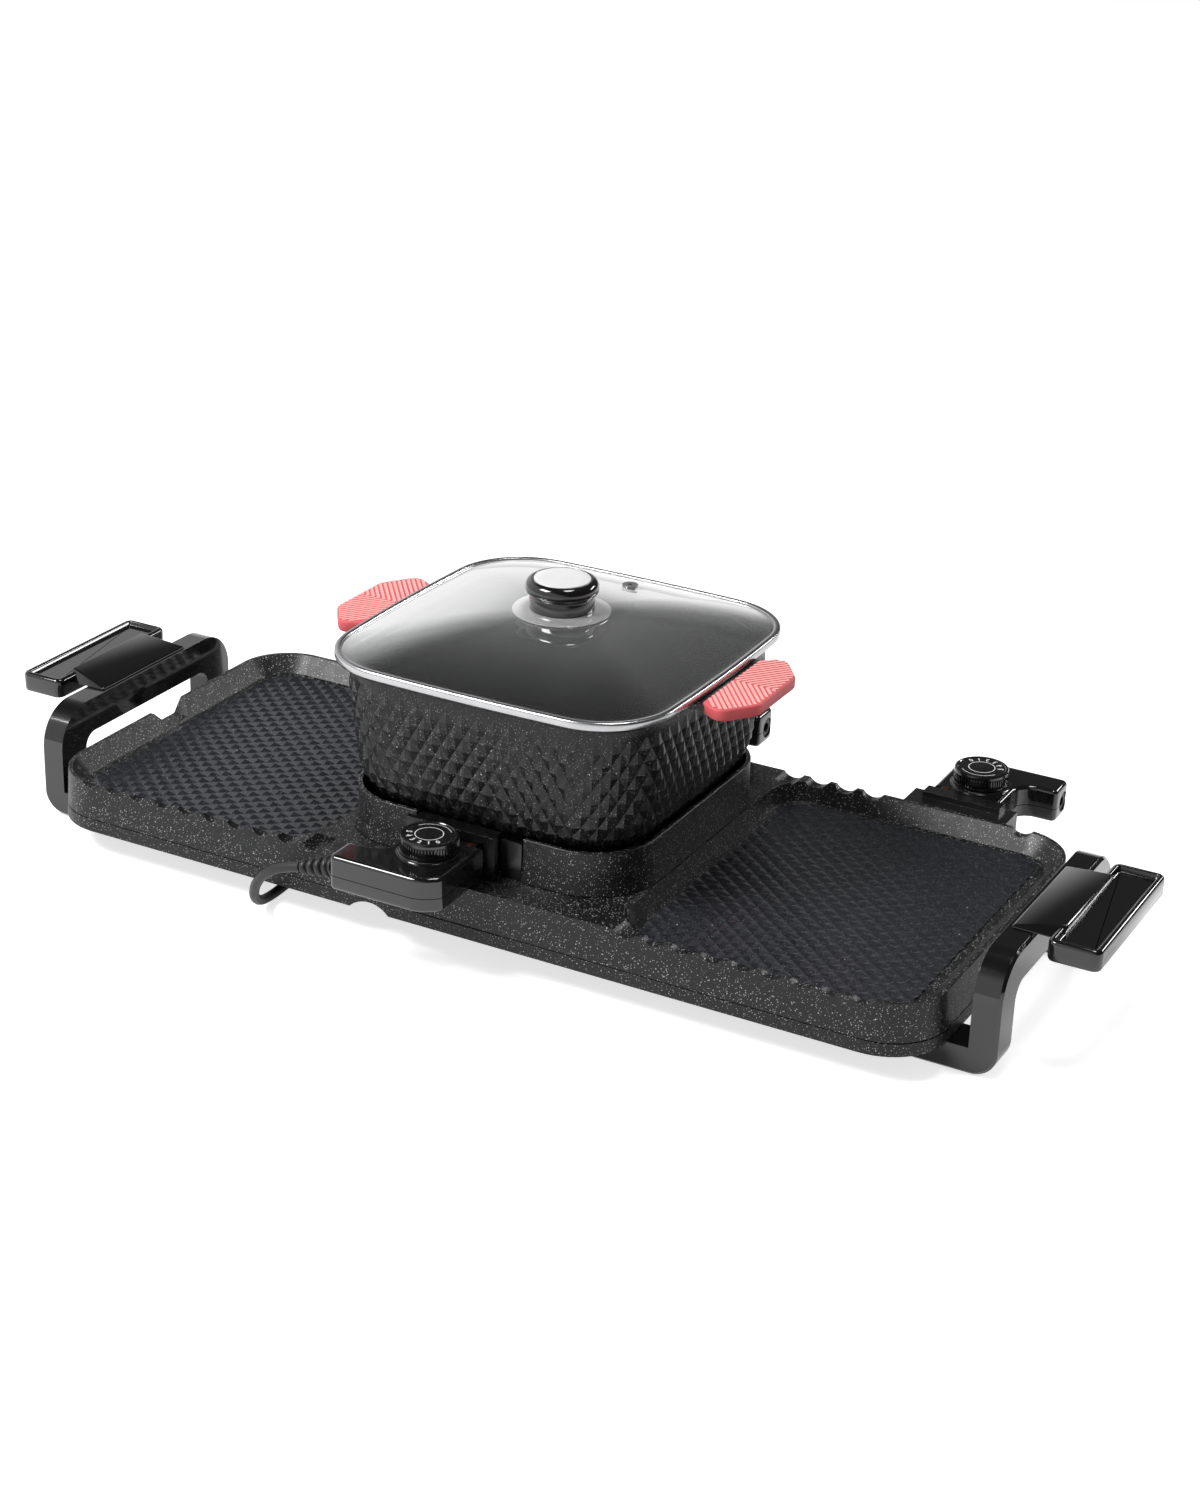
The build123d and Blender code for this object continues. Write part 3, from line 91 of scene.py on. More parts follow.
class Body(str, Enum):
    """Moving bodies of the appliance."""

    TRAY = "tray"
    POT = "pot"
    LID = "lid"
    FRONT_CONTROL = "front_control"
    REAR_CONTROL = "rear_control"
    GRILL_CONTROL = "grill_control"
    FRONT_DIAL = "front_dial"
    REAR_DIAL = "rear_dial"
    GRILL_DIAL = "grill_dial"


class Slot(str, Enum):
    """Material slots of the record."""

    COATING = "speckled_coating"
    GLOSS = "gloss_black_plastic"
    MATTE = "matte_black_plastic"
    DIAL = "dial_plastic"
    SILICONE = "pink_silicone"
    GLASS = "lid_glass"
    SKIRT = "clear_ring"
    STEEL = "steel"
    CHROME = "chrome"
    CORD = "cord_jacket"
    RUBBER = "black_rubber"


# ---------------------------------------------------------------- node graphs


def add_node(
    tree: bpy.types.NodeTree,
    kind: str,
    settings: dict[str, object] | None = None,
    inputs: dict[str | int, object] | None = None,
) -> bpy.types.Node:
    """Adds a node to a tree.

    Args:
        tree: tree to add to.
        kind: Blender's name of the node type.
        settings: properties that are set before the sockets.
        inputs: values, or sockets to join, by socket name or number.

    Returns:
        The node.
    """
    node = tree.nodes.new(kind)
    for key, value in (settings or {}).items():
        setattr(node, key, value)
    for key, value in (inputs or {}).items():
        if isinstance(value, Socket):
            tree.links.new(value, node.inputs[key])
        else:
            node.inputs[key].default_value = value
    return node


class Signal:
    """A shader socket that takes part in arithmetic."""

    def __init__(self, graph: "Graph", socket: Socket) -> None:
        """Wraps a socket of a graph."""
        self.graph = graph
        self.socket = socket

    def _math(self, operation: str, left: "Value", right: "Value") -> "Signal":
        """Adds a Math node and returns its result."""
        return self.graph.add("ShaderNodeMath", {"operation": operation}, {0: left, 1: right})

    def __add__(self, other: "Value") -> "Signal":
        """Sum."""
        return self._math("ADD", self, other)

    __radd__ = __add__

    def __sub__(self, other: "Value") -> "Signal":
        """Difference."""
        return self._math("SUBTRACT", self, other)

    def __rsub__(self, other: "Value") -> "Signal":
        """Difference from a plain value."""
        return self._math("SUBTRACT", other, self)

    def __mul__(self, other: "Value") -> "Signal":
        """Product."""
        return self._math("MULTIPLY", self, other)

    def __gt__(self, other: "Value") -> "Signal":
        """One where this is larger."""
        return self._math("GREATER_THAN", self, other)

    def clamped(self) -> "Signal":
        """Held between zero and one."""
        return self._math("MAXIMUM", self._math("MINIMUM", self, 1.0), 0.0)

    def raised(self, power: float) -> "Signal":
        """Raised to a power."""
        return self._math("POWER", self, power)


Value = Signal | float | int | Colour | Place


class Graph:
    """Shader graph of a material or of the world."""

    def __init__(self, owner: Material | bpy.types.World) -> None:
        """Empties the owner's node tree."""
        owner.use_nodes = True
        self.owner = owner
        self.tree = owner.node_tree
        self.tree.nodes.clear()

    def add(
        self,
        kind: str,
        settings: dict[str, object] | None = None,
        inputs: dict[str | int, Value] | None = None,
        output: str | int = 0,
    ) -> Signal:
        """Adds a node and returns one of its outputs as a signal."""
        plain = {key: value.socket if isinstance(value, Signal) else value for key, value in (inputs or {}).items()}
        return Signal(self, add_node(self.tree, kind, settings, plain).outputs[output])

    def place(self) -> Signal:
        """Object coordinates."""
        return self.add("ShaderNodeTexCoord", output="Object")

    def noise(self, scale: float, detail: float = 2.0, where: Signal | None = None) -> Signal:
        """Noise from zero to one, with its scale in cycles per metre."""
        vector = where or self.place()
        return self.add("ShaderNodeTexNoise", None, {"Vector": vector, "Scale": scale, "Detail": detail})

    def mix(self, factor: Value, first: Value, second: Value) -> Signal:
        """Mix of two colours."""
        return self.add("ShaderNodeMix", {"data_type": "RGBA"}, {0: factor, 6: first, 7: second}, 2)

    def bump(self, height: Signal, strength: float, distance: float) -> Signal:
        """Normal from a height, with the height's full size in metres."""
        sizes: dict[str | int, Value] = {"Strength": strength, "Distance": distance, "Height": height}
        return self.add("ShaderNodeBump", None, sizes, "Normal")

    def principled(self, colour: Value, roughness: Value, **more: Value) -> Signal:
        """Principled shader, with the names of further inputs joined by underscores."""
        inputs: dict[str | int, Value] = {"Base Color": colour, "Roughness": roughness}
        inputs |= {name.replace("_", " "): value for name, value in more.items()}
        return self.add("ShaderNodeBsdfPrincipled", None, inputs)

    def rays(self) -> tuple[Signal, Signal, Signal]:
        """Whether a ray comes from the camera, from a mirror, or through clear matter."""
        kinds = ("Is Camera Ray", "Is Glossy Ray", "Is Transmission Ray")
        camera, glossy, through = (self.add("ShaderNodeLightPath", output=kind) for kind in kinds)
        return camera, glossy, through

    def close(self, shader: Signal, output: str = "ShaderNodeOutputMaterial") -> Material | bpy.types.World:
        """Joins a shader to the output and returns the owner."""
        add_node(self.tree, output, None, {"Surface": shader.socket})
        return self.owner


def grey(level: float) -> Colour:
    """Neutral colour."""
    return level, level, level, 1.0


def scaled(colour: Colour, gain: float) -> Colour:
    """Colour made lighter or darker by one factor."""
    return tuple(c * gain for c in colour[:3]) + (1.0,)


# ---------------------------------------------------------------- finishes


@dataclass(frozen=True)
class Finish:
    """A named finish that becomes one material."""

    name: str

    def shader(self, graph: Graph) -> Signal:
        """Builds the shader in a graph."""
        raise NotImplementedError

    def material(self) -> Material:
        """Builds the material."""
        graph = Graph(bpy.data.materials.new(self.name))
        return graph.close(self.shader(graph))


@dataclass(frozen=True)
class SpeckledCoating(Finish):
    """Black non-stick coating with sparse pale flecks over a fine dust.

    The radii of flecks and dust are the least one and how much larger the largest is, both in cells.
    """

    base: Colour = (0.0042, 0.0043, 0.0047, 1.0)
    fleck: Colour = (0.88, 0.88, 0.87, 1.0)
    fleck_cell: float = 0.005
    fleck_share: float = 0.85
    fleck_radii: tuple[float, float] = (0.06, 0.06)
    dust_cell: float = 0.0014
    dust_share: float = 0.9
    dust_radii: tuple[float, float] = (0.18, 0.16)
    dust_strength: float = 0.65
    dust_power: float = 0.85
    spot_edge: float = 12.0
    cloud_scale: float = 55.0
    cloud_gain: float = 1.8
    roughness: float = 0.33
    wear_scale: float = 130.0
    wear: float = 0.14
    fleck_gloss: float = 0.1
    grain_scale: float = 620.0
    grain_strength: float = 0.55
    grain: float = 0.00010
    index: float = 1.44

    def spots(self, graph: Graph, cell: float, share: float, radii: tuple[float, float]) -> tuple[Signal, Signal]:
        """Round spots.

        Args:
            graph: graph to add to.
            cell: mean spacing of the cells in metres.
            share: share of the cells that hold a spot.
            radii: least radius and its spread, in cells.

        Returns:
            The spots' mask, and a number from zero to one for each spot.
        """
        least, spread = radii
        cells = {"Vector": graph.place(), "Scale": 1.0 / cell}
        distance, shade = (
            graph.add("ShaderNodeTexVoronoi", {"feature": "F1"}, cells, output) for output in ("Distance", "Color")
        )
        red, green, blue = (graph.add("ShaderNodeSeparateColor", None, {0: shade}, i) for i in range(3))
        radius = green * spread + least
        return ((radius - distance) * self.spot_edge).clamped() * (red > (1.0 - share)), blue

    def shader(self, graph: Graph) -> Signal:
        """Builds the clouded base, the dust over it and the flecks over both."""
        flecks, _ = self.spots(graph, self.fleck_cell, self.fleck_share, self.fleck_radii)
        dust, level = self.spots(graph, self.dust_cell, self.dust_share, self.dust_radii)
        lit = graph.mix(graph.noise(self.cloud_scale, 3.0), self.base, scaled(self.base, self.cloud_gain))
        dusted = graph.mix(dust * level.raised(self.dust_power) * self.dust_strength, lit, self.fleck)
        colour = graph.mix(flecks, dusted, self.fleck)
        rough = self.roughness + graph.noise(self.wear_scale) * self.wear - flecks * self.fleck_gloss
        normal = graph.bump(graph.noise(self.grain_scale), self.grain_strength, self.grain)
        return graph.principled(colour, rough, Normal=normal, IOR=self.index)


@dataclass(frozen=True)
class MouldedPlastic(Finish):
    """Moulded plastic with faint flow waves and fine wear."""

    base: Colour = (0.0035, 0.0035, 0.0038, 1.0)
    cloud_gain: float = 1.35
    roughness: float = 0.09
    wear: float = 0.09
    wear_scale: float = 38.0
    wave: float = 0.00003
    wave_scale: float = 22.0
    wave_strength: float = 0.6
    texture: float = 0.0
    texture_scale: float = 900.0
    index: float = 1.5
    coat: float = 0.8

    def shader(self, graph: Graph) -> Signal:
        """Builds the smeared surface under its clear coat."""
        smear = graph.noise(self.wear_scale, 4.0)
        waves = graph.noise(self.wave_scale, 1.0) + graph.noise(self.texture_scale, 1.0) * self.texture
        return graph.principled(
            graph.mix(smear, self.base, scaled(self.base, self.cloud_gain)),
            self.roughness + smear.raised(2.0) * self.wear,
            Normal=graph.bump(waves, self.wave_strength, self.wave),
            IOR=self.index,
            Coat_Weight=self.coat,
            Coat_Roughness=self.roughness,
        )


@dataclass(frozen=True)
class Clouded(Finish):
    """Rubber, silicone, ink or a lens: colour and gloss drift with one cloud over a fine grain.

    The cloud is its scale and detail, and the grain its scale, detail, strength and depth.
    """

    base: Colour
    shade: Colour
    roughness: float
    drift: float
    cloud: tuple[float, float]
    grain: tuple[float, float, float, float] | None = None
    scatter: float = 0.0
    scatter_radius: Place = (0.004, 0.0015, 0.0012)
    sheen: float = 0.15

    def shader(self, graph: Graph) -> Signal:
        """Builds the clouded surface."""
        cloud = graph.noise(*self.cloud)
        more: dict[str, Value] = {}
        if self.grain:
            scale, detail, strength, depth = self.grain
            more["Normal"] = graph.bump(graph.noise(scale, detail), strength, depth)
        if self.scatter:
            more |= {"Subsurface_Weight": self.scatter, "Subsurface_Radius": self.scatter_radius}
            more |= {"Subsurface_Scale": 1.0, "Sheen_Weight": self.sheen}
        colour = graph.mix(cloud, self.base, self.shade)
        return graph.principled(colour, self.roughness + cloud * self.drift, **more)


@dataclass(frozen=True)
class ClearGlass(Finish):
    """Thin clear sheet: what shows through it, the surroundings in its surface, and a painted sheen at its edges, a
    pale diffuse tone that stands in for glare where the sheet is seen edge-on.
    """

    tint: Colour = (0.93, 0.945, 0.95, 1.0)
    mirror: Colour = (0.95, 0.95, 0.95, 1.0)
    # tone of the painted sheen at the edges
    pale: Colour = (0.9, 0.9, 0.9, 1.0)
    index: float = 1.5
    haze: float = 0.045
    gain: float = 3.0
    roughness: float = 0.02
    wear: float = 0.02
    wear_scale: float = 30.0
    # share and falloff of the painted sheen where the sheet is seen edge-on
    veil: float = 0.85
    veil_power: float = 5.0

    def shader(self, graph: Graph) -> Signal:
        """Builds the sheet, its mirroring and its painted sheen at glancing angles."""
        through = graph.add("ShaderNodeBsdfTransparent", None, {"Color": self.tint})
        rough = self.roughness + graph.noise(self.wear_scale) * self.wear
        surface = graph.add("ShaderNodeBsdfAnisotropic", None, {"Color": self.mirror, "Roughness": rough})
        fresnel = graph.add("ShaderNodeFresnel", None, {"IOR": self.index})
        share = (fresnel * self.gain + self.haze).clamped()
        mirrored = graph.add("ShaderNodeMixShader", None, {0: share, 1: through, 2: surface})
        # painted sheen: a pale diffuse tone mixed in where the sheet is seen edge-on, standing in for glare off the
        # glass
        facing = graph.add("ShaderNodeLayerWeight", None, {"Blend": 0.5}, "Facing")
        veil = (facing.raised(self.veil_power) * self.veil).clamped()
        pale = graph.add("ShaderNodeBsdfDiffuse", None, {"Color": self.pale})
        return graph.add("ShaderNodeMixShader", None, {0: veil, 1: mirrored, 2: pale})


@dataclass(frozen=True)
class Metal(Finish):
    """Metal with a drawn or turned grain."""

    base: Colour = (0.62, 0.62, 0.63, 1.0)
    tarnish: Colour = (0.45, 0.45, 0.46, 1.0)
    tarnish_scale: float = 40.0
    roughness: float = 0.2
    wear: float = 0.1
    stretch: Place = (1.0, 1.0, 1.0)
    grain_scale: float = 500.0
    grain_strength: float = 0.4
    grain: float = 0.00001
    metallic: float = 1.0

    def shader(self, graph: Graph) -> Signal:
        """Builds the grained surface."""
        lined = graph.add("ShaderNodeMapping", None, {"Vector": graph.place(), "Scale": self.stretch})
        lines = graph.noise(self.grain_scale, 3.0, lined)
        return graph.principled(
            graph.mix(graph.noise(self.tarnish_scale, 3.0), self.base, self.tarnish),
            self.roughness + lines * self.wear,
            Metallic=self.metallic,
            Normal=graph.bump(lines, self.grain_strength, self.grain),
        )


@dataclass(frozen=True)
class PaleFloor(Finish):
    """White floor that keeps soft shadows."""

    body: Colour = (0.8, 0.8, 0.8, 1.0)
    seen_lift: float = 0.71
    mirrored_lift: float = 0.2

    def shader(self, graph: Graph) -> Signal:
        """Builds the floor, which glows a little where it is seen or mirrored."""
        camera, glossy, through = graph.rays()
        strength = (camera + through).clamped() * self.seen_lift + glossy * self.mirrored_lift
        diffuse = graph.add("ShaderNodeBsdfDiffuse", None, {"Color": self.body})
        glow = graph.add("ShaderNodeEmission", None, {"Color": grey(1.0), "Strength": strength})
        return graph.add("ShaderNodeAddShader", None, {0: diffuse, 1: glow})


def silicone(name: str, base: Colour, shade: Colour) -> Clouded:
    """Soft coloured silicone."""
    return Clouded(name, base, shade, 0.5, 0.12, (60.0, 3.0), (1500.0, 1.0, 0.35, 0.00004), scatter=0.12)


def rubber(name: str, base: Colour, roughness: float) -> Clouded:
    """Matte rubber or vinyl with a fine skin."""
    return Clouded(name, base, scaled(base, 1.6), roughness, 0.15, (120.0, 3.0), (1400.0, 2.0, 0.4, 0.00005))


class Finishes:
    """All the finishes, built once."""

    def __init__(self) -> None:
        """Builds every material."""
        pot_black, floor_black = (0.0035, 0.0036, 0.004, 1.0), (0.009, 0.0098, 0.0125, 1.0)
        finishes: dict[str, Finish] = {
            "tray_coat": SpeckledCoating("tray_coating"),
            "base_coat": SpeckledCoating("base_coating", roughness=0.38),
            "pot_coat": SpeckledCoating(
                "pot_coating", base=pot_black, fleck_share=0.9, dust_strength=0.33, roughness=0.24
            ),
            "floor_coat": SpeckledCoating(
                "cooking_floor_coating",
                base=floor_black,
                dust_strength=0.12,
                fleck_share=0.06,
                roughness=0.2,
                index=1.6,
            ),
            "inner_coat": SpeckledCoating(
                "pot_inner_coating", dust_strength=0.15, fleck_share=0.2, roughness=0.34
            ),
            "gloss": MouldedPlastic("gloss_black"),
            "satin": MouldedPlastic("satin_black", roughness=0.24, wear=0.12, texture=0.5, coat=0.3),
            "matte": MouldedPlastic("matte_black", roughness=0.45, texture=0.8, wave=0.00006, coat=0.0),
            "dial": MouldedPlastic("dial_black", roughness=0.12),
            "silicone": silicone("coral_silicone", (0.95, 0.39, 0.375, 1.0), (0.93, 0.35, 0.34, 1.0)),
            # darker coral for the sleeve body: painted shade in the grooves between the ribs, the silicone itself
            # being one colour
            "deep_silicone": silicone("coral_silicone_grooves", (0.68, 0.1, 0.11, 1.0), (0.6, 0.08, 0.09, 1.0)),
            "glass": ClearGlass("lid_glass"),
            # the knob's clear ring gets a broad painted sheen over most of its face, standing in for its bright rim
            "skirt": ClearGlass(
                "knob_skirt_clear", tint=grey(0.8), haze=0.4, gain=1.6, roughness=0.2, veil=0.5, veil_power=1.0
            ),
            "band": Metal("band_steel", grain_scale=260.0, stretch=(1.0, 1.0, 9.0)),
            "steel": Metal("bright_steel", roughness=0.26),
            "cap": Metal("brushed_cap", grey(0.9), grey(0.84), roughness=0.36, metallic=0.35),
            "heater": Metal("heater_sheath", (0.16, 0.15, 0.14, 1.0), (0.07, 0.06, 0.06, 1.0), roughness=0.42),
            "cast": Metal("cast_aluminium", roughness=0.45, grain=0.0001),
            "brass": Metal("brass_pins", (0.62, 0.42, 0.16, 1.0), (0.45, 0.28, 0.1, 1.0), roughness=0.28),
            "rubber": rubber("black_rubber", (0.012, 0.012, 0.0125, 1.0), 0.42),
            "jacket": rubber("cord_jacket", (0.009, 0.009, 0.0095, 1.0), 0.36),
            "ink": Clouded("dial_ink", (0.78, 0.78, 0.77, 1.0), grey(0.55), 0.4, 0.2, (900.0, 2.0)),
            "lamp": Clouded(
                "lamp_lens", (0.03, 0.003, 0.003, 1.0), (0.07, 0.008, 0.006, 1.0), 0.12, 0.1, (700.0, 1.0)
            ),
        }
        self.materials = {key: finish.material() for key, finish in finishes.items()}

    def __getattr__(self, key: str) -> Material:
        """Material by its short name."""
        return self.materials[key]
# ---------------------------------------------------------------- mesh making


def skin(rings: Sequence[Ring], closed: bool = False) -> tuple[list[Vector], list[Face]]:
    """Points of rings, and the four-sided faces between each two of them.

    Args:
        rings: rings that have equal numbers of points.
        closed: joins the last ring to the first.

    Returns:
        The points, and the faces as numbers of points.
    """
    count, levels = len(rings[0]), len(rings)
    faces: list[Face] = []
    for level in range(levels if closed else levels - 1):
        low, high = level * count, (level + 1) % levels * count
        for i in range(count):
            j = (i + 1) % count
            faces.append((low + i, low + j, high + j, high + i))
    return [point for ring in rings for point in ring], faces


def fan(points: list[Vector], faces: list[Face], start: int, count: int, tip: Vector, turned: bool = False) -> None:
    """Closes a ring with triangles to a tip, and adds both to the lists.

    Args:
        points: points so far.
        faces: faces so far.
        start: number of the ring's first point.
        count: number of points in the ring.
        tip: where the triangles meet.
        turned: makes the triangles look the other way.
    """
    top = len(points)
    points.append(tip)
    for i in range(count):
        a, b = start + i, start + (i + 1) % count
        faces.append((b, a, top) if turned else (a, b, top))


def store_numbers(mesh: Mesh, name: str, values: Sequence[float]) -> None:
    """Stores a number on each point of a mesh."""
    stored = mesh.attributes.new(name, "FLOAT", "POINT")
    stored.data.foreach_set("value", list(values))


class Maker:
    """Makes plain meshes, millimetres in, metres out."""

    @staticmethod
    def piece(name: str, mesh: Mesh, material: Material | None = None) -> Object:
        """Links an object for a mesh and gives it a material."""
        made = bpy.data.objects.new(name, mesh)
        bpy.context.scene.collection.objects.link(made)
        if material is not None:
            mesh.materials.clear()
            mesh.materials.append(material)
        return made

    @staticmethod
    def mesh(name: str, points: Iterable[Sequence[float]], faces: Iterable[Sequence[int]]) -> Mesh:
        """Mesh from points in millimetres, measured from the appliance's middle."""
        mesh = bpy.data.meshes.new(name)
        mesh.from_pydata([metres(point) for point in points], [], list(faces))
        mesh.validate()
        return mesh

    @staticmethod
    def smooth(mesh: Mesh, angle: float = 35.0) -> None:
        """Smooth shading, with edges sharper than an angle kept."""
        for polygon in mesh.polygons:
            polygon.use_smooth = True
        mesh.set_sharp_from_angle(angle=math.radians(angle))

    @staticmethod
    def outward(mesh: Mesh) -> None:
        """Turns the faces of a closed mesh outwards."""
        work = bmesh.new()
        work.from_mesh(mesh)
        bmesh.ops.remove_doubles(work, verts=work.verts, dist=SAME_POINT)
        bmesh.ops.recalc_face_normals(work, faces=work.faces)
        work.to_mesh(mesh)
        work.free()

    @staticmethod
    def settled(piece: Object) -> Object:
        """Turns the evaluated object into a plain mesh and drops its modifiers."""
        bpy.context.view_layer.update()
        graph = bpy.context.evaluated_depsgraph_get()
        mesh = bpy.data.meshes.new_from_object(piece.evaluated_get(graph))
        mesh.name = piece.name
        piece.modifiers.clear()
        piece.data = mesh
        return piece

    @classmethod
    def bevelled(cls, piece: Object, width: float, segments: int, angle: float = 30.0) -> None:
        """Rounds the edges that are sharper than an angle, by a width in millimetres."""
        bevel = piece.modifiers.new("rounded_edges", "BEVEL")
        bevel.width = width * MM
        bevel.segments = segments
        bevel.limit_method = "ANGLE"
        bevel.angle_limit = math.radians(angle)
        bevel.use_clamp_overlap = True
        cls.settled(piece)

    @classmethod
    def loft(
        cls,
        name: str,
        rings: Sequence[Ring],
        material: Material,
        closed: bool = False,
        angle: float = 35.0,
        flat: bool = False,
    ) -> Object:
        """Skin over rings that have equal numbers of points, with its ends closed.

        Args:
            name: name of the piece.
            rings: rings from one end to the other.
            material: its finish.
            closed: joins the last ring to the first, so that there are no ends.
            angle: edges sharper than this stay sharp.
            flat: closes the ends with one flat face each, which may be hollow in plan.

        Returns:
            The piece.
        """
        count = len(rings[0])
        points, faces = skin(rings, closed)
        last = len(points) - count
        if flat:
            faces += [tuple(reversed(range(count))), tuple(range(last, last + count))]
        elif not closed:
            for start in (0, last):
                middle = sum(points[start : start + count], Vector()) / count
                fan(points, faces, start, count, middle, turned=start == 0)
        mesh = cls.mesh(name, points, faces)
        cls.outward(mesh)
        cls.smooth(mesh, angle)
        return cls.piece(name, mesh, material)

    @classmethod
    def turned(
        cls,
        name: str,
        profile: Profile,
        centre: Sequence[float],
        material: Material,
        axis: Vector = UPRIGHT,
        count: int = 64,
        angle: float = 30.0,
    ) -> Object:
        """Solid of revolution.

        Args:
            name: name of the piece.
            profile: pairs of radius and height along the axis.
            centre: where height zero lies, in millimetres from the appliance's middle.
            material: its finish.
            axis: direction of the axis.
            count: points round the circle.
            angle: edges sharper than this stay sharp.

        Returns:
            The piece.
        """
        turn, origin = axis.to_track_quat("Z", "Y").to_matrix(), Vector(centre)
        ways = [2 * math.pi * i / count for i in range(count)]
        rings = [
            [origin + turn @ Vector((r * math.cos(way), r * math.sin(way), height)) for way in ways]
            for r, height in ((max(radius, LEAST_RADIUS), height) for radius, height in profile)
        ]
        return cls.loft(name, rings, material, angle=angle)

    @classmethod
    def rounded(
        cls,
        node: str,
        name: str,
        material: Material,
        width: float,
        segments: int = 2,
        angle: float = 32.0,
        ceiling: float | None = None,
    ) -> Object:
        """Copy of a CAD node with real rounded edges, which stands for it.

        Args:
            node: name of the CAD node.
            name: name of the piece.
            material: its finish.
            width: width of the rounding in millimetres.
            segments: steps across the rounding.
            angle: edges sharper than this are rounded.
            ceiling: height in millimetres above which the copy is pressed flat.

        Returns:
            The piece, lying where the node does.
        """
        work = bmesh.new()
        work.from_mesh(bpy.data.objects[node].data)
        bmesh.ops.remove_doubles(work, verts=work.verts, dist=SAME_CAD_POINT)
        bmesh.ops.dissolve_limit(work, angle_limit=math.radians(FLAT_ANGLE), verts=work.verts, edges=work.edges)
        if ceiling is not None:
            for vertex in work.verts:
                vertex.co.z = min(vertex.co.z, ceiling * MM)
        mesh = bpy.data.meshes.new(name)
        work.to_mesh(mesh)
        work.free()
        copy = cls.piece(name, mesh, material)
        cls.bevelled(copy, width, segments, angle)
        cls.smooth(copy.data, angle + SOFTER_BY)
        copy.modifiers.new("even_normals", "WEIGHTED_NORMAL").keep_sharp = True
        cls.settled(copy)
        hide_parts(node)
        return copy


def ridden(piece: Object, body: Body, slot: Slot, *nodes: str) -> None:
    """Makes a piece ride on a body and hides the CAD nodes that it stands for."""
    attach(piece, body.value)
    if nodes:
        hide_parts(*nodes)


class Plan:
    """Closed outline in plan, as dense points that run anticlockwise."""

    def __init__(self, corners: Sequence[tuple[float, float, float]], step: float = 1.2) -> None:
        """Rounds the corners of a polygon.

        Args:
            corners: places with the radius of their rounding.
            step: largest distance between the points of a rounding.
        """
        self.points: list[Vector] = []
        total = len(corners)
        for i, (x, y, radius) in enumerate(corners):
            here = Vector((x, y))
            before = Vector(corners[i - 1][:2])
            after = Vector(corners[(i + 1) % total][:2])
            back, on = (before - here).normalized(), (after - here).normalized()
            half_turn = back.angle(on) / 2
            length = min(radius / math.tan(half_turn), 0.48 * (before - here).length, 0.48 * (after - here).length)
            true_radius = length * math.tan(half_turn)
            middle = here + (back + on).normalized() * (length / math.cos(half_turn))
            start = here + back * length - middle
            sweep = start.angle_signed(here + on * length - middle)
            steps = max(3, int(abs(sweep) * true_radius / step))
            for k in range(steps + 1):
                self.points.append(middle + Matrix.Rotation(-sweep * k / steps, 2) @ start)

    @classmethod
    def rectangle(cls, low: tuple[float, float], high: tuple[float, float], corner: float) -> "Plan":
        """Rectangle between two of its corners, all of them rounded."""
        (left, near), (right, far) = low, high
        return cls([(left, near, corner), (right, near, corner), (right, far, corner), (left, far, corner)])

    def ring(self, inset: float, height: float) -> Ring:
        """Outline drawn in by an inset at a height."""
        made: Ring = []
        total = len(self.points)
        for i, here in enumerate(self.points):
            way = (self.points[(i + 1) % total] - self.points[i - 1]).normalized()
            moved = here + Vector((-way.y, way.x)) * inset
            made.append(Vector((moved.x, moved.y, height)))
        return made


def arc(middle: Vector, radius: float, start: float, stop: float, steps: int) -> list[Vector]:
    """Points along an arc in plan, without its end."""
    ways = (start + (stop - start) * i / steps for i in range(steps))
    return [middle + radius * Vector((math.cos(way), math.sin(way))) for way in ways]


def evenly(outline: Sequence[Vector], count: int, height: float) -> Ring:
    """Evenly spaced points along an outline that ends where it began."""
    reach = [0.0]
    for a, b in zip(outline, outline[1:]):
        reach.append(reach[-1] + (b - a).length)
    ring: Ring = []
    at = 0
    for i in range(count):
        want = reach[-1] * i / count
        while reach[at + 1] < want:
            at += 1
        span = reach[at + 1] - reach[at]
        flat = outline[at].lerp(outline[at + 1], (want - reach[at]) / span if span else 0.0)
        ring.append(Vector((flat.x, flat.y, height)))
    return ring


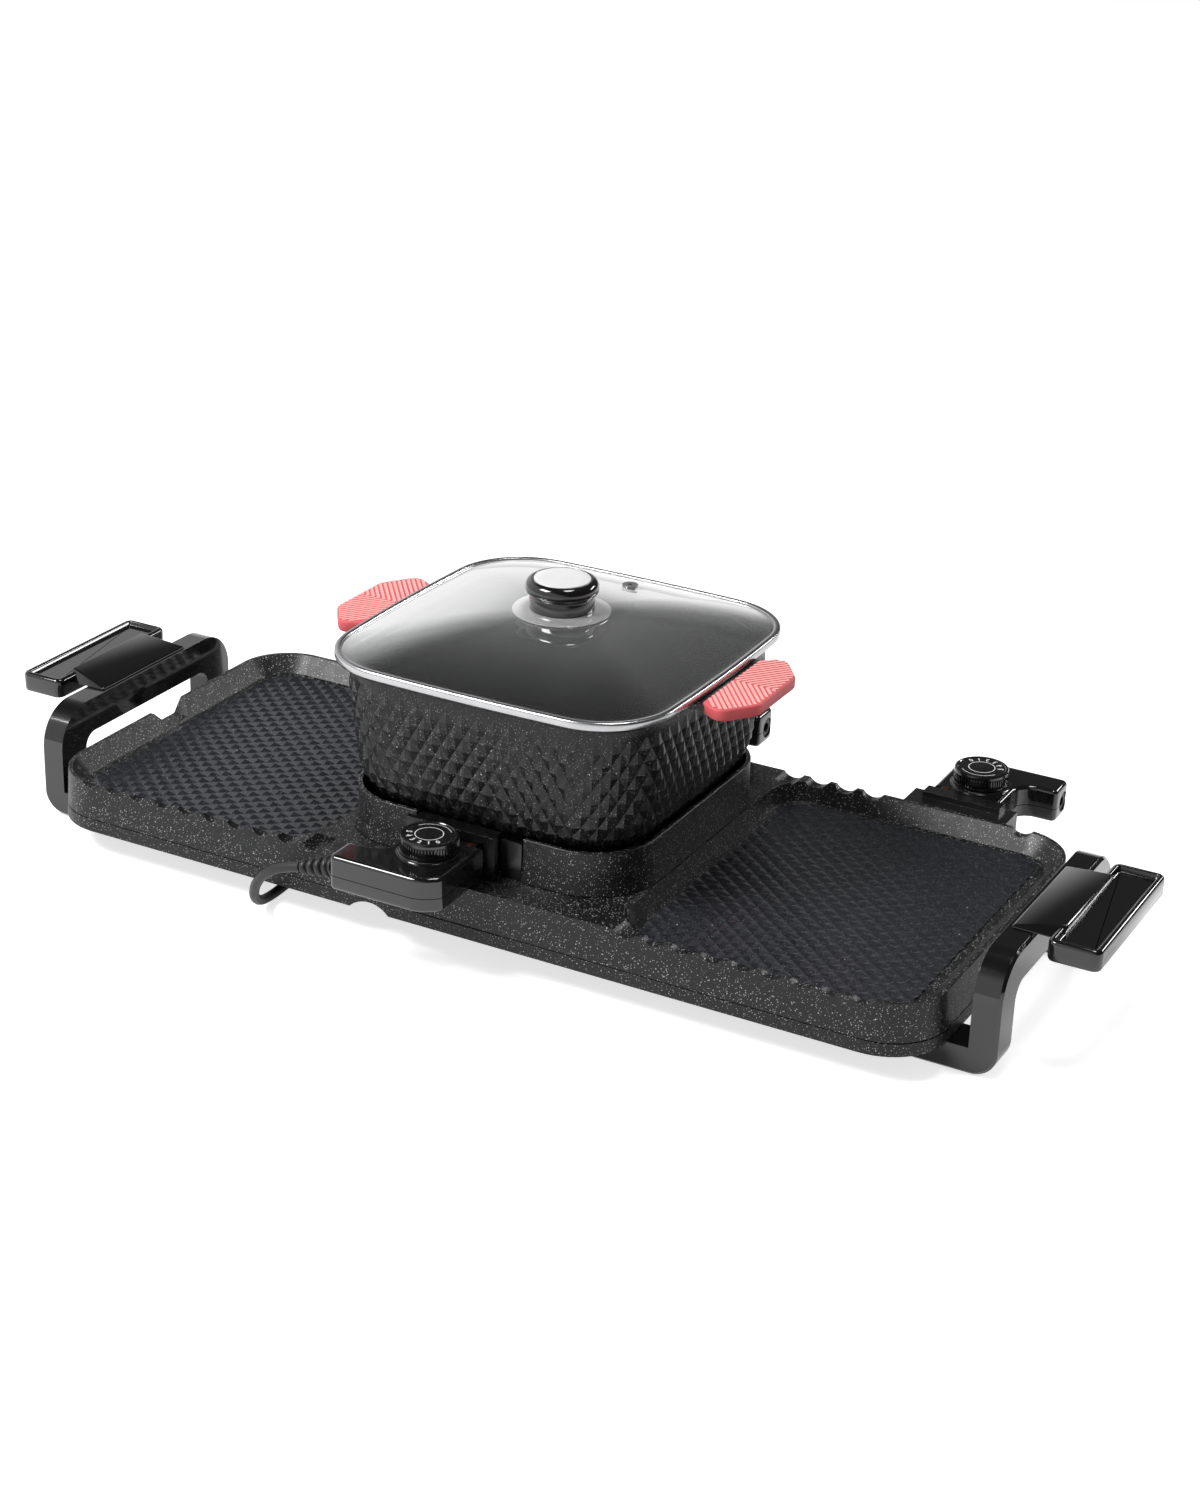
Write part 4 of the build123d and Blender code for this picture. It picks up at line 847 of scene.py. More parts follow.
def bowed_outline(half_x: float, half_y: float, bow: float, corner: float, count: int, height: float) -> Ring:
    """Square with gently bowed sides and round corners, as evenly spaced points.

    Args:
        half_x: half of the size across.
        half_y: half of the size in depth.
        bow: how far the sides' middles stand out.
        corner: radius of the corners.
        count: number of points, a multiple of eight.
        height: height of the outline.

    Returns:
        Points from the middle of the right side, anticlockwise.
    """
    corner = max(corner, 0.5)
    across, deep = half_x - bow, half_y - bow
    front_radius = (across**2 + bow**2) / (2 * bow)
    side_radius = (deep**2 + bow**2) / (2 * bow)
    side_middle = Vector((half_x - side_radius, 0.0))
    front_middle = Vector((0.0, half_y - front_radius))
    reach_side, reach_front = side_radius - corner, front_radius - corner
    apart = front_middle - side_middle
    gap = apart.length
    along = (reach_side**2 - reach_front**2 + gap**2) / (2 * gap)
    off = math.sqrt(max(reach_side**2 - along**2, 0.0))
    unit = apart.normalized()
    options = [side_middle + unit * along + Vector((-unit.y, unit.x)) * s * off for s in (-1, 1)]
    middle = max(options, key=lambda p: p.x + p.y)
    start = math.atan2(middle.y - side_middle.y, middle.x - side_middle.x)
    stop = math.atan2(middle.y - front_middle.y, middle.x - front_middle.x)
    quarter = arc(side_middle, side_radius, 0.0, start, SIDE_STEPS)
    quarter += arc(middle, corner, start, stop, CORNER_STEPS)
    quarter += arc(front_middle, front_radius, stop, math.pi / 2, SIDE_STEPS)
    top = Vector((0.0, half_y))
    outline = [*quarter, top, *(Vector((-p.x, p.y)) for p in reversed(quarter))]
    outline += [*(Vector((-p.x, -p.y)) for p in quarter[1:]), -top]
    outline += [Vector((p.x, -p.y)) for p in reversed(quarter)]
    return evenly(outline, count, height)


# ---------------------------------------------------------------- geometry nodes


SOCKET_KINDS = {int: "NodeSocketInt", float: "NodeSocketFloat", tuple: "NodeSocketVector"}


class NodeTree:
    """Geometry node tree with named inputs, which ends in real geometry of one material."""

    def __init__(self, name: str, inputs: dict[str, int | float | Place]) -> None:
        """Makes an empty tree.

        Args:
            name: name of the tree.
            inputs: its inputs beside geometry and material, with their defaults.
        """
        self.tree = bpy.data.node_groups.new(name, "GeometryNodeTree")
        sockets = self.tree.interface
        for side in ("INPUT", "OUTPUT"):
            sockets.new_socket("Geometry", in_out=side, socket_type="NodeSocketGeometry")
        self.names: dict[str, str] = {}
        for key, default in inputs.items():
            made = sockets.new_socket(key, in_out="INPUT", socket_type=SOCKET_KINDS[type(default)])
            made.default_value = default
            self.names[key] = made.identifier
        made = sockets.new_socket("Material", in_out="INPUT", socket_type="NodeSocketMaterial")
        self.names["Material"] = made.identifier
        self.entry = self.tree.nodes.new("NodeGroupInput")

    def given(self, name: str) -> Socket:
        """Output of the group's input node by name."""
        return self.entry.outputs[name]

    def add(
        self, kind: str, settings: dict[str, object] | None = None, inputs: dict[str | int, object] | None = None
    ) -> Socket:
        """Adds a node and returns its first output."""
        return add_node(self.tree, kind, settings, inputs).outputs[0]

    def stored(self, name: str) -> Socket:
        """Number that is stored on the points."""
        return self.add("GeometryNodeInputNamedAttribute", {"data_type": "FLOAT"}, {"Name": name})

    def times(self, left: Socket, right: Socket) -> Socket:
        """Product of two numbers."""
        return self.add("ShaderNodeMath", {"operation": "MULTIPLY"}, {0: left, 1: right})

    def finish(self, geometry: Socket) -> "NodeTree":
        """Ends the tree in real geometry that has the given material."""
        real = self.add("GeometryNodeRealizeInstances", None, {"Geometry": geometry})
        dressed = self.add("GeometryNodeSetMaterial", None, {"Geometry": real, "Material": self.given("Material")})
        add_node(self.tree, "NodeGroupOutput", None, {0: dressed})
        return self

    def run(self, piece: Object, **values: object) -> Object:
        """Runs the tree on a piece with named values and settles the result."""
        modifier = piece.modifiers.new(self.tree.name, "NODES")
        modifier.node_group = self.tree
        for name, value in values.items():
            modifier[self.names[name]] = value
        return Maker.settled(piece)


class Patterns:
    """The geometry node trees that make what repeats."""

    def __init__(self) -> None:
        """Builds the trees."""
        self.relief = self._relief()
        self.round_array = self._round_array()
        self.bars = self._bars()

    @staticmethod
    def _relief() -> NodeTree:
        """Pushes points out along the surface by their stored peak."""
        tree = NodeTree("embossed_relief", {"Depth": 0.0008})
        amount = tree.times(tree.stored("peak"), tree.given("Depth"))
        normal = tree.add("GeometryNodeInputNormal")
        push = tree.add("ShaderNodeVectorMath", {"operation": "SCALE"}, {0: normal, "Scale": amount})
        return tree.finish(
            tree.add("GeometryNodeSetPosition", None, {"Geometry": tree.given("Geometry"), "Offset": push})
        )

    @staticmethod
    def _round_array() -> NodeTree:
        """Repeats a shape evenly round an upright axis through a centre."""
        tree = NodeTree("round_array", {"Count": 12, "Centre": (0.0, 0.0, 0.0), "Step": 0.5})
        line = tree.add("GeometryNodeMeshLine", {"mode": "OFFSET"}, {"Count": tree.given("Count")})
        still = tree.add("GeometryNodeSetPosition", None, {"Geometry": line, "Position": tree.given("Centre")})
        angle = tree.times(tree.add("GeometryNodeInputIndex"), tree.given("Step"))
        spin = tree.add("ShaderNodeCombineXYZ", None, {"Z": angle})
        links = {"Points": still, "Instance": tree.given("Geometry"), "Rotation": spin}
        return tree.finish(tree.add("GeometryNodeInstanceOnPoints", None, links))

    @staticmethod
    def _bars() -> NodeTree:
        """Lays a low bar on each point, as long and as turned as the point says."""
        tree = NodeTree("laid_bars", {"Width": 0.0016, "Height": 0.0008})
        sides = {"X": 1.0, "Y": tree.given("Width"), "Z": tree.given("Height")}
        size = tree.add("ShaderNodeCombineXYZ", None, sides)
        bar = tree.add("GeometryNodeMeshCube", None, {"Size": size})
        scale = tree.add("ShaderNodeCombineXYZ", None, {"X": tree.stored("reach"), "Y": 1.0, "Z": 1.0})
        spin = tree.add("ShaderNodeCombineXYZ", None, {"Z": tree.stored("turn")})
        links = {"Points": tree.given("Geometry"), "Instance": bar, "Rotation": spin, "Scale": scale}
        return tree.finish(tree.add("GeometryNodeInstanceOnPoints", None, links))


@dataclass
class Section:
    """Part of the appliance that is built from the shared finishes and patterns."""

    finishes: Finishes
    patterns: Patterns


def mirrored(half: Profile) -> list[Vector]:
    """Outline in plan from the corners of its rear half, the first of them on the inner side."""
    return [Vector((x, -y)) for x, y in half] + [Vector((x, y)) for x, y in reversed(half)]


# ---------------------------------------------------------------- grill


@dataclass
class Grill(Section):
    """Casting, base shell, collar and the embossed cooking floors."""

    floor_height: float = 44.5
    floor_inner_x: float = 120.0
    floor_outer_x: float = 326.0
    floor_half_y: float = 129.8
    floor_corner: float = 25.5
    margin: float = 1.0
    half_cell_x: float = 7.4
    half_cell_y: float = 6.2
    relief: float = 1.3
    lift: float = 0.03
    flat_border: float = 2.0
    edge_angle: float = 38.0

    def build(self) -> None:
        """Builds the grill's pieces."""
        castings = (
            ("grill_tray", "grill_casting", self.finishes.tray_coat, 0.9, 2),
            ("base_shell", "base_pan", self.finishes.base_coat, 0.8, 2),
            ("pot_collar", "pot_collar_ring", self.finishes.tray_coat, 1.0, 3),
        )
        for node, name, coat, width, segments in castings:
            piece = Maker.rounded(node, name, coat, width, segments, self.edge_angle)
            ridden(piece, Body.TRAY, Slot.COATING)
        for side, name in SIDES:
            ridden(self.floor(side, f"{name}_embossed_floor"), Body.TRAY, Slot.COATING)

    def inside(self, x: float, y: float, inset: float) -> bool:
        """Whether a place lies in the flat floor's rounded outline, drawn in."""
        low, high = self.floor_inner_x + inset, self.floor_outer_x - inset
        half = self.floor_half_y - inset
        corner = max(self.floor_corner - inset, 1.0)
        if not (low <= x <= high and abs(y) <= half):
            return False
        off_x = max(low + corner - x, x - (high - corner), 0.0)
        off_y = max(abs(y) - (half - corner), 0.0)
        return off_x**2 + off_y**2 <= corner**2

    def floor(self, side: int, name: str) -> Object:
        """Low pyramids in a diamond lattice over one cooking floor."""
        points: list[Place] = []
        peaks: list[float] = []
        numbers: dict[tuple[int, int], int] = {}
        faces: list[Face] = []
        columns = int((self.floor_outer_x - self.floor_inner_x) / self.half_cell_x) + 2
        rows = int(self.floor_half_y / self.half_cell_y) + 1
        middle = (self.floor_inner_x + self.floor_outer_x) / 2

        def spot(i: int, j: int) -> tuple[float, float]:
            """Where a lattice point lies on the right-hand floor."""
            return middle + (i - columns // 2) * self.half_cell_x, j * self.half_cell_y

        def number(i: int, j: int) -> int:
            """Number of a lattice point, made when first asked for."""
            if (i, j) not in numbers:
                x, y = spot(i, j)
                high = (i + j) % 2 == 0 and self.inside(x, y, self.margin + self.flat_border)
                numbers[(i, j)] = len(points)
                points.append((side * x, y, self.floor_height + self.lift))
                peaks.append(float(high))
            return numbers[(i, j)]

        for i in range(columns):
            for j in range(-rows, rows):
                corners = [(i, j), (i + 1, j), (i + 1, j + 1), (i, j + 1)]
                if not all(self.inside(*spot(*corner), self.margin) for corner in corners):
                    continue
                a, b, c, d = (number(*corner) for corner in corners)
                faces += [(a, b, d), (b, c, d)] if (i + j) % 2 == 0 else [(a, b, c), (a, c, d)]
        if side < 0:
            faces = [tuple(reversed(face)) for face in faces]
        mesh = Maker.mesh(name, points, faces)
        store_numbers(mesh, "peak", peaks)
        made = Maker.piece(name, mesh, self.finishes.floor_coat)
        return self.patterns.relief.run(made, Depth=self.relief * MM, Material=self.finishes.floor_coat)


# ---------------------------------------------------------------- pot


@dataclass
class Pot(Section):
    """Pot with quilted walls, its ears, the divider and the sleeves."""

    bottom: float = 72.0
    rim: float = 181.9
    foot_x: float = 111.5
    foot_y: float = 113.5
    rim_x: float = 120.5
    rim_y: float = 122.5
    bow: float = 4.0
    corner: float = 51.0
    base_round: float = 38.0
    wall: float = 3.2
    floor: float = 4.0
    lip: float = 4.0
    lip_height: float = 3.0
    columns: int = 144
    row: float = 9.4
    quilt_top: float = 171.0
    relief: float = 1.6
    ear_bottom: float = 177.0
    ear_top: float = 181.5
    ear_plan: Profile = ((119.0, 48.5), (149.0, 42.0), (156.5, 33.0))
    ear_root: float = 140.0
    lip_round: float = 0.6
    foot_lift: float = 0.02
    wall_steps: int = 6
    bend_steps: int = 10
    ear_round: tuple[float, float] = (0.8, 0.5)

    def build(self) -> None:
        """Builds the pot's pieces."""
        ridden(self.outer_wall(), Body.POT, Slot.COATING, "pot_shell")
        ridden(self.inner_wall(), Body.POT, Slot.COATING)
        divider = Maker.rounded("pot_divider", "pot_swirl_divider", self.finishes.inner_coat, 1.6, 3, 40.0)
        ridden(divider, Body.POT, Slot.COATING)
        for side, name in SIDES:
            ridden(self.ear(side, f"{name}_ear"), Body.POT, Slot.COATING)
            Sleeve(self.finishes, self.patterns, side, name).build()

    def ring(self, height: float, inset: float, count: int) -> Ring:
        """Outline of the pot at a height, drawn in by an inset."""
        share = (height - self.bottom) / (self.rim - self.bottom)
        half_x = self.foot_x + share * (self.rim_x - self.foot_x) - inset
        half_y = self.foot_y + share * (self.rim_y - self.foot_y) - inset
        return bowed_outline(half_x, half_y, self.bow, self.corner - inset, count, height)

    def profile(self) -> list[tuple[float, float]]:
        """Inset and height down the outer wall: straight, then round to the base."""
        steps: list[tuple[float, float]] = []
        height = self.quilt_top
        bend = self.bottom + self.base_round
        while height > bend:
            steps.append((0.0, height))
            height -= self.row
        passed = bend - height
        while passed < self.base_round * math.pi / 2:
            way = passed / self.base_round
            inset = self.base_round * (1 - math.cos(way))
            steps.append((inset, bend - self.base_round * math.sin(way)))
            passed += self.row
        return steps

    def outer_wall(self) -> Object:
        """Outer wall with diamond facets, and the rolled lip above it."""
        lip_low = self.rim - self.lip_height
        lip = [
            (self.wall, self.rim - self.lip_round),
            (self.wall - 0.7, self.rim - 0.05),
            (0.5 - self.lip, self.rim - 0.05),
            (-self.lip, self.rim - self.lip_round),
            (-self.lip, lip_low + 0.7),
            (0.7 - self.lip, lip_low),
            (0.4, lip_low - 0.1),
            (0.0, lip_low - 1.2),
        ]
        quilt, foot = self.profile(), self.bottom + self.foot_lift
        first, last = len(lip), len(lip) + len(quilt) - 1
        levels = [*lip, *quilt, (self.base_round + 1.0, foot)]
        count = self.columns
        points, quads = skin([self.ring(height, inset, count) for inset, height in levels])
        faces: list[Face] = []
        quilted: list[bool] = []
        for number, (a, b, c, d) in enumerate(quads):
            level, i = divmod(number, count)
            facet = first <= level < last
            if not facet:
                split = [(a, d, c, b)]
            elif (level - first + i) % 2 == 0:
                split = [(a, d, b), (b, d, c)]
            else:
                split = [(a, c, b), (a, d, c)]
            faces += split
            quilted += [facet] * len(split)
        fan(points, faces, len(points) - count, count, Vector((0.0, 0.0, foot)), turned=True)
        quilted += [False] * count
        peaks = [0.0] * len(points)
        for level in range(first + 1, last):
            for i in range((level - first) % 2, count, 2):
                peaks[level * count + i] = 1.0
        mesh = Maker.mesh("pot_quilted_wall", points, faces)
        for polygon, facet in zip(mesh.polygons, quilted):
            polygon.use_smooth = not facet
        store_numbers(mesh, "peak", peaks)
        made = Maker.piece("pot_quilted_wall", mesh, self.finishes.pot_coat)
        return self.patterns.relief.run(made, Depth=self.relief * MM, Material=self.finishes.pot_coat)

    def inner_wall(self) -> Object:
        """Smooth cavity of the pot."""
        top, low = self.rim - self.lip_round, self.bottom + self.floor
        curve = self.base_round - self.wall
        bend = low + curve
        levels = [(self.wall, top + (bend - top) * i / self.wall_steps) for i in range(self.wall_steps)]
        for i in range(self.bend_steps + 1):
            way = math.pi / 2 * i / self.bend_steps
            levels.append((self.wall + curve * (1 - math.cos(way)), bend - curve * math.sin(way)))
        points, faces = skin([self.ring(height, inset, self.columns) for inset, height in levels])
        fan(points, faces, len(points) - self.columns, self.columns, Vector((0.0, 0.0, low)))
        mesh = Maker.mesh("pot_cavity_wall", points, faces)
        Maker.smooth(mesh, 60.0)
        return Maker.piece("pot_cavity_wall", mesh, self.finishes.inner_coat)

    def ear(self, side: int, name: str) -> Object:
        """Flat ear under a sleeve."""
        draw, rise = self.ear_round
        levels = [(self.ear_bottom, draw), (self.ear_bottom + rise, 0.0)]
        levels += [(self.ear_top - rise, 0.0), (self.ear_top, draw)]
        rings = [
            [
                Vector((side * (x - inset * (x > self.ear_root)), y - math.copysign(inset, y), height))
                for x, y in mirrored(self.ear_plan)
            ]
            for height, inset in levels
        ]
        return Maker.loft(name, rings, self.finishes.pot_coat, angle=30.0)


@dataclass
class Sleeve(Section):
    """Silicone sleeve on a pot ear, with slanting ribs on both faces."""

    side: int
    name: str
    bottom: float = 174.8
    top: float = 183.7
    inner_x: float = 131.0
    tip_x: float = 165.5
    inner_half: float = 44.0
    half: float = 54.0
    shoulder_x: float = 147.0
    straight_half: float = 28.0
    round: float = 12.0
    inner_round: float = 1.5
    round_steps: int = 6
    rib_pitch: float = 3.5
    rib_width: float = 2.0
    rib_height: float = 1.0
    rib_slant: float = 52.0
    rib_margin: float = 1.6
    least_rib: float = 2.0
    rib_lift: float = 0.1
    rib_lines: int = 30

    def outline(self, inset: float) -> list[Vector]:
        """Plan of the sleeve on the right, drawn in by an inset."""
        half = [(self.inner_x + inset, self.inner_half - inset), (self.shoulder_x, self.half - inset)]
        corners = mirrored([*half, (self.tip_x - inset, self.straight_half)])
        made: list[Vector] = []
        total = len(corners)
        for i, here in enumerate(corners):
            before, after = corners[i - 1], corners[(i + 1) % total]
            radius = self.inner_round if i in (0, total - 1) else self.round
            to_before = (before - here).normalized()
            to_after = (after - here).normalized()
            half_turn = to_before.angle(to_after) / 2
            back = min(radius / math.tan(half_turn), 0.49 * (before - here).length, 0.49 * (after - here).length)
            first, last = here + to_before * back, here + to_after * back
            for step in range(self.round_steps + 1):
                t = step / self.round_steps
                made.append(first.lerp(here, t).lerp(here.lerp(last, t), t))
        return made

    def build(self) -> None:
        """Builds the sleeve and its ribs."""
        levels = [(self.bottom, 1.2), (self.bottom + 0.35, 0.5), (self.bottom + 1.2, 0.0)]
        levels += [(self.top - 1.9, 0.0), (self.top - 1.05, 0.5), (self.top - 0.7, 1.2)]
        rings = [[Vector((self.side * p.x, p.y, z)) for p in self.outline(inset)] for z, inset in levels]
        # the body under the ribs takes the darker coral, painted shade that makes the grooves between the ribs read
        body = Maker.loft(f"{self.name}_silicone_sleeve", rings, self.finishes.deep_silicone, angle=40.0)
        ridden(body, Body.POT, Slot.SILICONE, f"{self.name}_sleeve")
        ridden(self.ribs(self.top - 0.7, f"{self.name}_sleeve_ribs"), Body.POT, Slot.SILICONE)

    def cross(self, origin: Vector, way: Vector) -> tuple[float, float] | None:
        """Where a line crosses the outline, as the least and greatest distance along it."""
        plan = self.outline(self.rib_margin)
        hits: list[float] = []
        for a, b in zip(plan, plan[1:] + plan[:1]):
            edge = b - a
            bottom = way.x * edge.y - way.y * edge.x
            if abs(bottom) < 1e-9:
                continue
            gap = a - origin
            along = (gap.x * edge.y - gap.y * edge.x) / bottom
            share = (gap.x * way.y - gap.y * way.x) / bottom
            if 0 <= share <= 1:
                hits.append(along)
        return (min(hits), max(hits)) if len(hits) >= 2 else None

    def ribs(self, height: float, name: str) -> Object:
        """Ribs that slant away from the sleeve's middle on both sides."""
        points: list[Place] = []
        reaches: list[float] = []
        turns: list[float] = []
        for half in (-1, 1):
            slant = math.radians(self.rib_slant) * half
            way = Vector((math.cos(slant), math.sin(slant)))
            across = Vector((-way.y, way.x))
            middle = Vector(((self.inner_x + self.tip_x) / 2, 0.0))
            for k in range(-self.rib_lines, self.rib_lines + 1):
                origin = middle + across * (k * self.rib_pitch)
                found = self.cross(origin, way)
                if not found:
                    continue
                low, high = found
                at_middle = -origin.y / way.y
                low, high = (max(low, at_middle), high) if half * way.y > 0 else (low, min(high, at_middle))
                if high - low < self.least_rib:
                    continue
                centre = origin + way * (low + high) / 2
                points.append((self.side * centre.x, centre.y, height + self.rib_lift))
                reaches.append((high - low) * MM)
                turns.append(slant if self.side > 0 else math.pi - slant)
        mesh = Maker.mesh(name, points, [])
        store_numbers(mesh, "reach", reaches)
        store_numbers(mesh, "turn", turns)
        made = Maker.piece(name, mesh, self.finishes.silicone)
        return self.patterns.bars.run(
            made, Width=self.rib_width * MM, Height=self.rib_height * MM, Material=self.finishes.silicone
        )


# ---------------------------------------------------------------- lid


@dataclass
class Lid(Section):
    """Domed glass lid with its steel band and knob."""

    half_x: float = 128.2
    half_y: float = 130.3
    bow: float = 4.2
    corner: float = 55.5
    rim: float = 181.9
    band_height: float = 6.1
    edge_top: float = 186.5
    edge_inset: float = 1.5
    dome_inset: float = 4.5
    thickness: float = 4.0
    rise: float = 19.6
    power: float = 2.2
    knob_bottom: float = 207.8
    knob_top: float = 229.39
    count: int = 176
    dome_steps: int = 26
    middle_share: float = 0.012

    def build(self) -> None:
        """Builds the lid's pieces."""
        ridden(self.glass(), Body.LID, Slot.GLASS, "lid_glass")
        ridden(self.band(), Body.LID, Slot.STEEL, "lid_band")
        self.knob()

    def ring(self, inset: float, share: float, height: float) -> Ring:
        """Outline of the lid, drawn in and shrunk towards its middle."""
        return bowed_outline(
            (self.half_x - inset) * share,
            (self.half_y - inset) * share,
            self.bow * share,
            (self.corner - inset) * share,
            self.count,
            height,
        )

    def glass(self) -> Object:
        """Domed sheet, smooth from its edge to the middle."""
        shares = [1.0 - i / self.dome_steps for i in range(self.dome_steps)] + [self.middle_share]
        dome = [(share, self.edge_top + self.rise * (1 - share**self.power)) for share in shares]
        inner = self.dome_inset + self.thickness
        rings = [self.ring(inner, share, height - self.thickness) for share, height in reversed(dome)]
        rings += [self.ring(self.edge_inset, 1.0, self.edge_top - drop) for drop in (3.1, 0.1)]
        rings += [self.ring(self.dome_inset, share, height) for share, height in dome]
        return Maker.loft("domed_lid_glass", rings, self.finishes.glass, angle=50.0)

    def band(self) -> Object:
        """Pressed band round the glass, a channel with rolled corners."""
        top = self.band_height
        outline = [(7.0, 0.0), (1.1, 0.0), (0.35, 0.3), (0.0, 1.0), (0.0, top - 1.7), (0.25, top - 0.9)]
        outline += [(0.9, top - 0.25), (1.9, top), (4.1, top), (4.5, top - 0.35), (4.5, top - 1.15)]
        outline += [(1.25, top - 1.2), (1.2, 1.2), (7.0, 1.15)]
        rings = [self.ring(inset, 1.0, self.rim + height) for inset, height in outline]
        return Maker.loft("pressed_lid_band", rings, self.finishes.band, closed=True, angle=50.0)

    def knob(self) -> None:
        """Builds the knob: skirt, grip, disc, pad under the glass and bolt."""
        low, f = self.knob_bottom, self.finishes
        dome = low - 2.4
        sheet_low = dome - self.thickness
        skirt = [(2.4, 0.0), (33.2, 0.0), (34.0, 0.5), (34.0, 0.9), (33.2, 1.3), (31.0, 1.5), (29.5, 2.3), (24.0, 2.4)]
        body = [(2.4, 0.0), (21.8, 0.0), (22.6, 0.6), (22.6, 8.6), (22.2, 9.4), (22.4, 10.2), (23.9, 11.2)]
        body += [(25.1, 12.6), (25.5, 14.6), (25.3, 16.9), (24.5, 18.9), (23.2, 20.3), (21.6, 21.0), (20.6, 21.0)]
        body += [(20.3, 20.6), (20.2, 19.3), (2.4, 19.3)]
        cap = [(0.0, 0.0), (19.6, 0.0), (19.7, 0.5), (19.7, 1.7), (19.45, 2.15), (18.9, 2.4), (12.0, 2.4), (0.0, 2.4)]
        washer = [(0.0, 0.0), (22.0, 0.0), (22.5, -0.4), (22.5, -1.2), (22.0, -1.6), (0.0, -1.6)]
        screw = [(0.0, 0.0), (4.6, 0.0), (5.0, -0.5), (4.4, -2.0), (2.6, -2.6), (0.0, -2.6)]
        pieces = (
            ("knob_skirt", skirt, dome, f.skirt, Slot.SKIRT, "knob_flange", 96, 30.0),
            ("knob_grip", body, low, f.gloss, Slot.GLOSS, "knob_body", 96, 50.0),
            ("knob_disc", cap, self.knob_top - 2.4, f.cap, Slot.CHROME, "knob_cap", 96, 30.0),
            ("knob_pad", washer, sheet_low, f.rubber, Slot.RUBBER, "knob_washer", 64, 30.0),
            ("knob_bolt", screw, sheet_low - 1.6, f.steel, Slot.STEEL, "knob_screw", 64, 30.0),
        )
        for name, profile, height, finish, slot, node, count, angle in pieces:
            made = Maker.turned(name, profile, (0.0, 0.0, height), finish, count=count, angle=angle)
            ridden(made, Body.LID, slot, node)


# ---------------------------------------------------------------- handles


@dataclass
class Handles(Section):
    """Bent brackets that carry the tray, with their grips."""

    plate_inner: float = 358.0
    box_inner: float = 387.0
    box_outer: float = 423.0
    plate_half: float = 51.0
    plate_end: float = 9.0
    plate_low: float = 82.0
    plate_rise: tuple[float, float] = (84.0, 90.0)
    box_half: float = 65.5
    box_bottom: float = 73.0
    box_top: float = 88.0
    box_corner: float = 6.0
    dish: float = 3.4
    plate_overlap: float = 5.8
    plate_lean: float = 1.2
    plate_draft: float = 1.5
    plate_round: float = 1.2

    def build(self) -> None:
        """Builds both ends."""
        for side, name in SIDES:
            bracket = Maker.rounded(f"{name}_bracket", f"{name}_carry_bracket", self.finishes.gloss, 1.6, 3, 24.0)
            ridden(bracket, Body.TRAY, Slot.GLOSS)
            ridden(self.box(side, f"{name}_grip_box"), Body.TRAY, Slot.GLOSS, f"{name}_grip")
            ridden(self.plate(side, f"{name}_grip_plate"), Body.TRAY, Slot.GLOSS)

    def box(self, side: int, name: str) -> Object:
        """Outer part of the grip: a rounded bar with a long dish in its top."""
        half, low, top = self.box_half, self.box_bottom, self.box_top
        plan = Plan.rectangle((self.box_inner, -half), (self.box_outer, half), self.box_corner)
        levels = [(2.4, low), (0.7, low + 0.7), (0.0, low + 2.4), (0.0, top - 2.6), (0.35, top - 1.3)]
        levels += [(1.3, top - 0.35), (2.6, top), (3.4, top), (3.9, top - 0.2), (4.3, top - 0.8)]
        levels += [(5.2, top - self.dish + 0.5), (5.9, top - self.dish), (6.5, top - self.dish)]
        rings = [[Vector((side * v.x, v.y, v.z)) for v in plan.ring(inset, z)] for inset, z in levels]
        return Maker.loft(name, rings, self.finishes.gloss, angle=40.0, flat=True)

    def plate(self, side: int, name: str) -> Object:
        """Inner part of the grip, which slopes down to the bracket and is bevelled at its ends."""
        inner, outer, half = self.plate_inner, self.box_inner + self.plate_overlap, self.plate_half
        near, far = self.plate_rise
        low, lean, draft, end = self.plate_low, self.plate_lean, self.plate_draft, self.plate_end
        points = [(inner, y, low) for y in (-half, half)] + [(outer, y, low) for y in (half, -half)]
        points += [(inner + lean, y, near) for y in (-half + draft, half - draft)]
        points += [(outer, y, far) for y in (half - end, -half + end)]
        faces = [(3, 2, 1, 0), (4, 5, 6, 7), (0, 1, 5, 4), (1, 2, 6, 5), (2, 3, 7, 6), (3, 0, 4, 7)]
        mesh = Maker.mesh(name, [(side * x, y, z) for x, y, z in points], faces)
        Maker.outward(mesh)
        made = Maker.piece(name, mesh, self.finishes.gloss)
        Maker.bevelled(made, self.plate_round, 3)
        Maker.smooth(made.data, 18.0)
        return made


# ---------------------------------------------------------------- controls


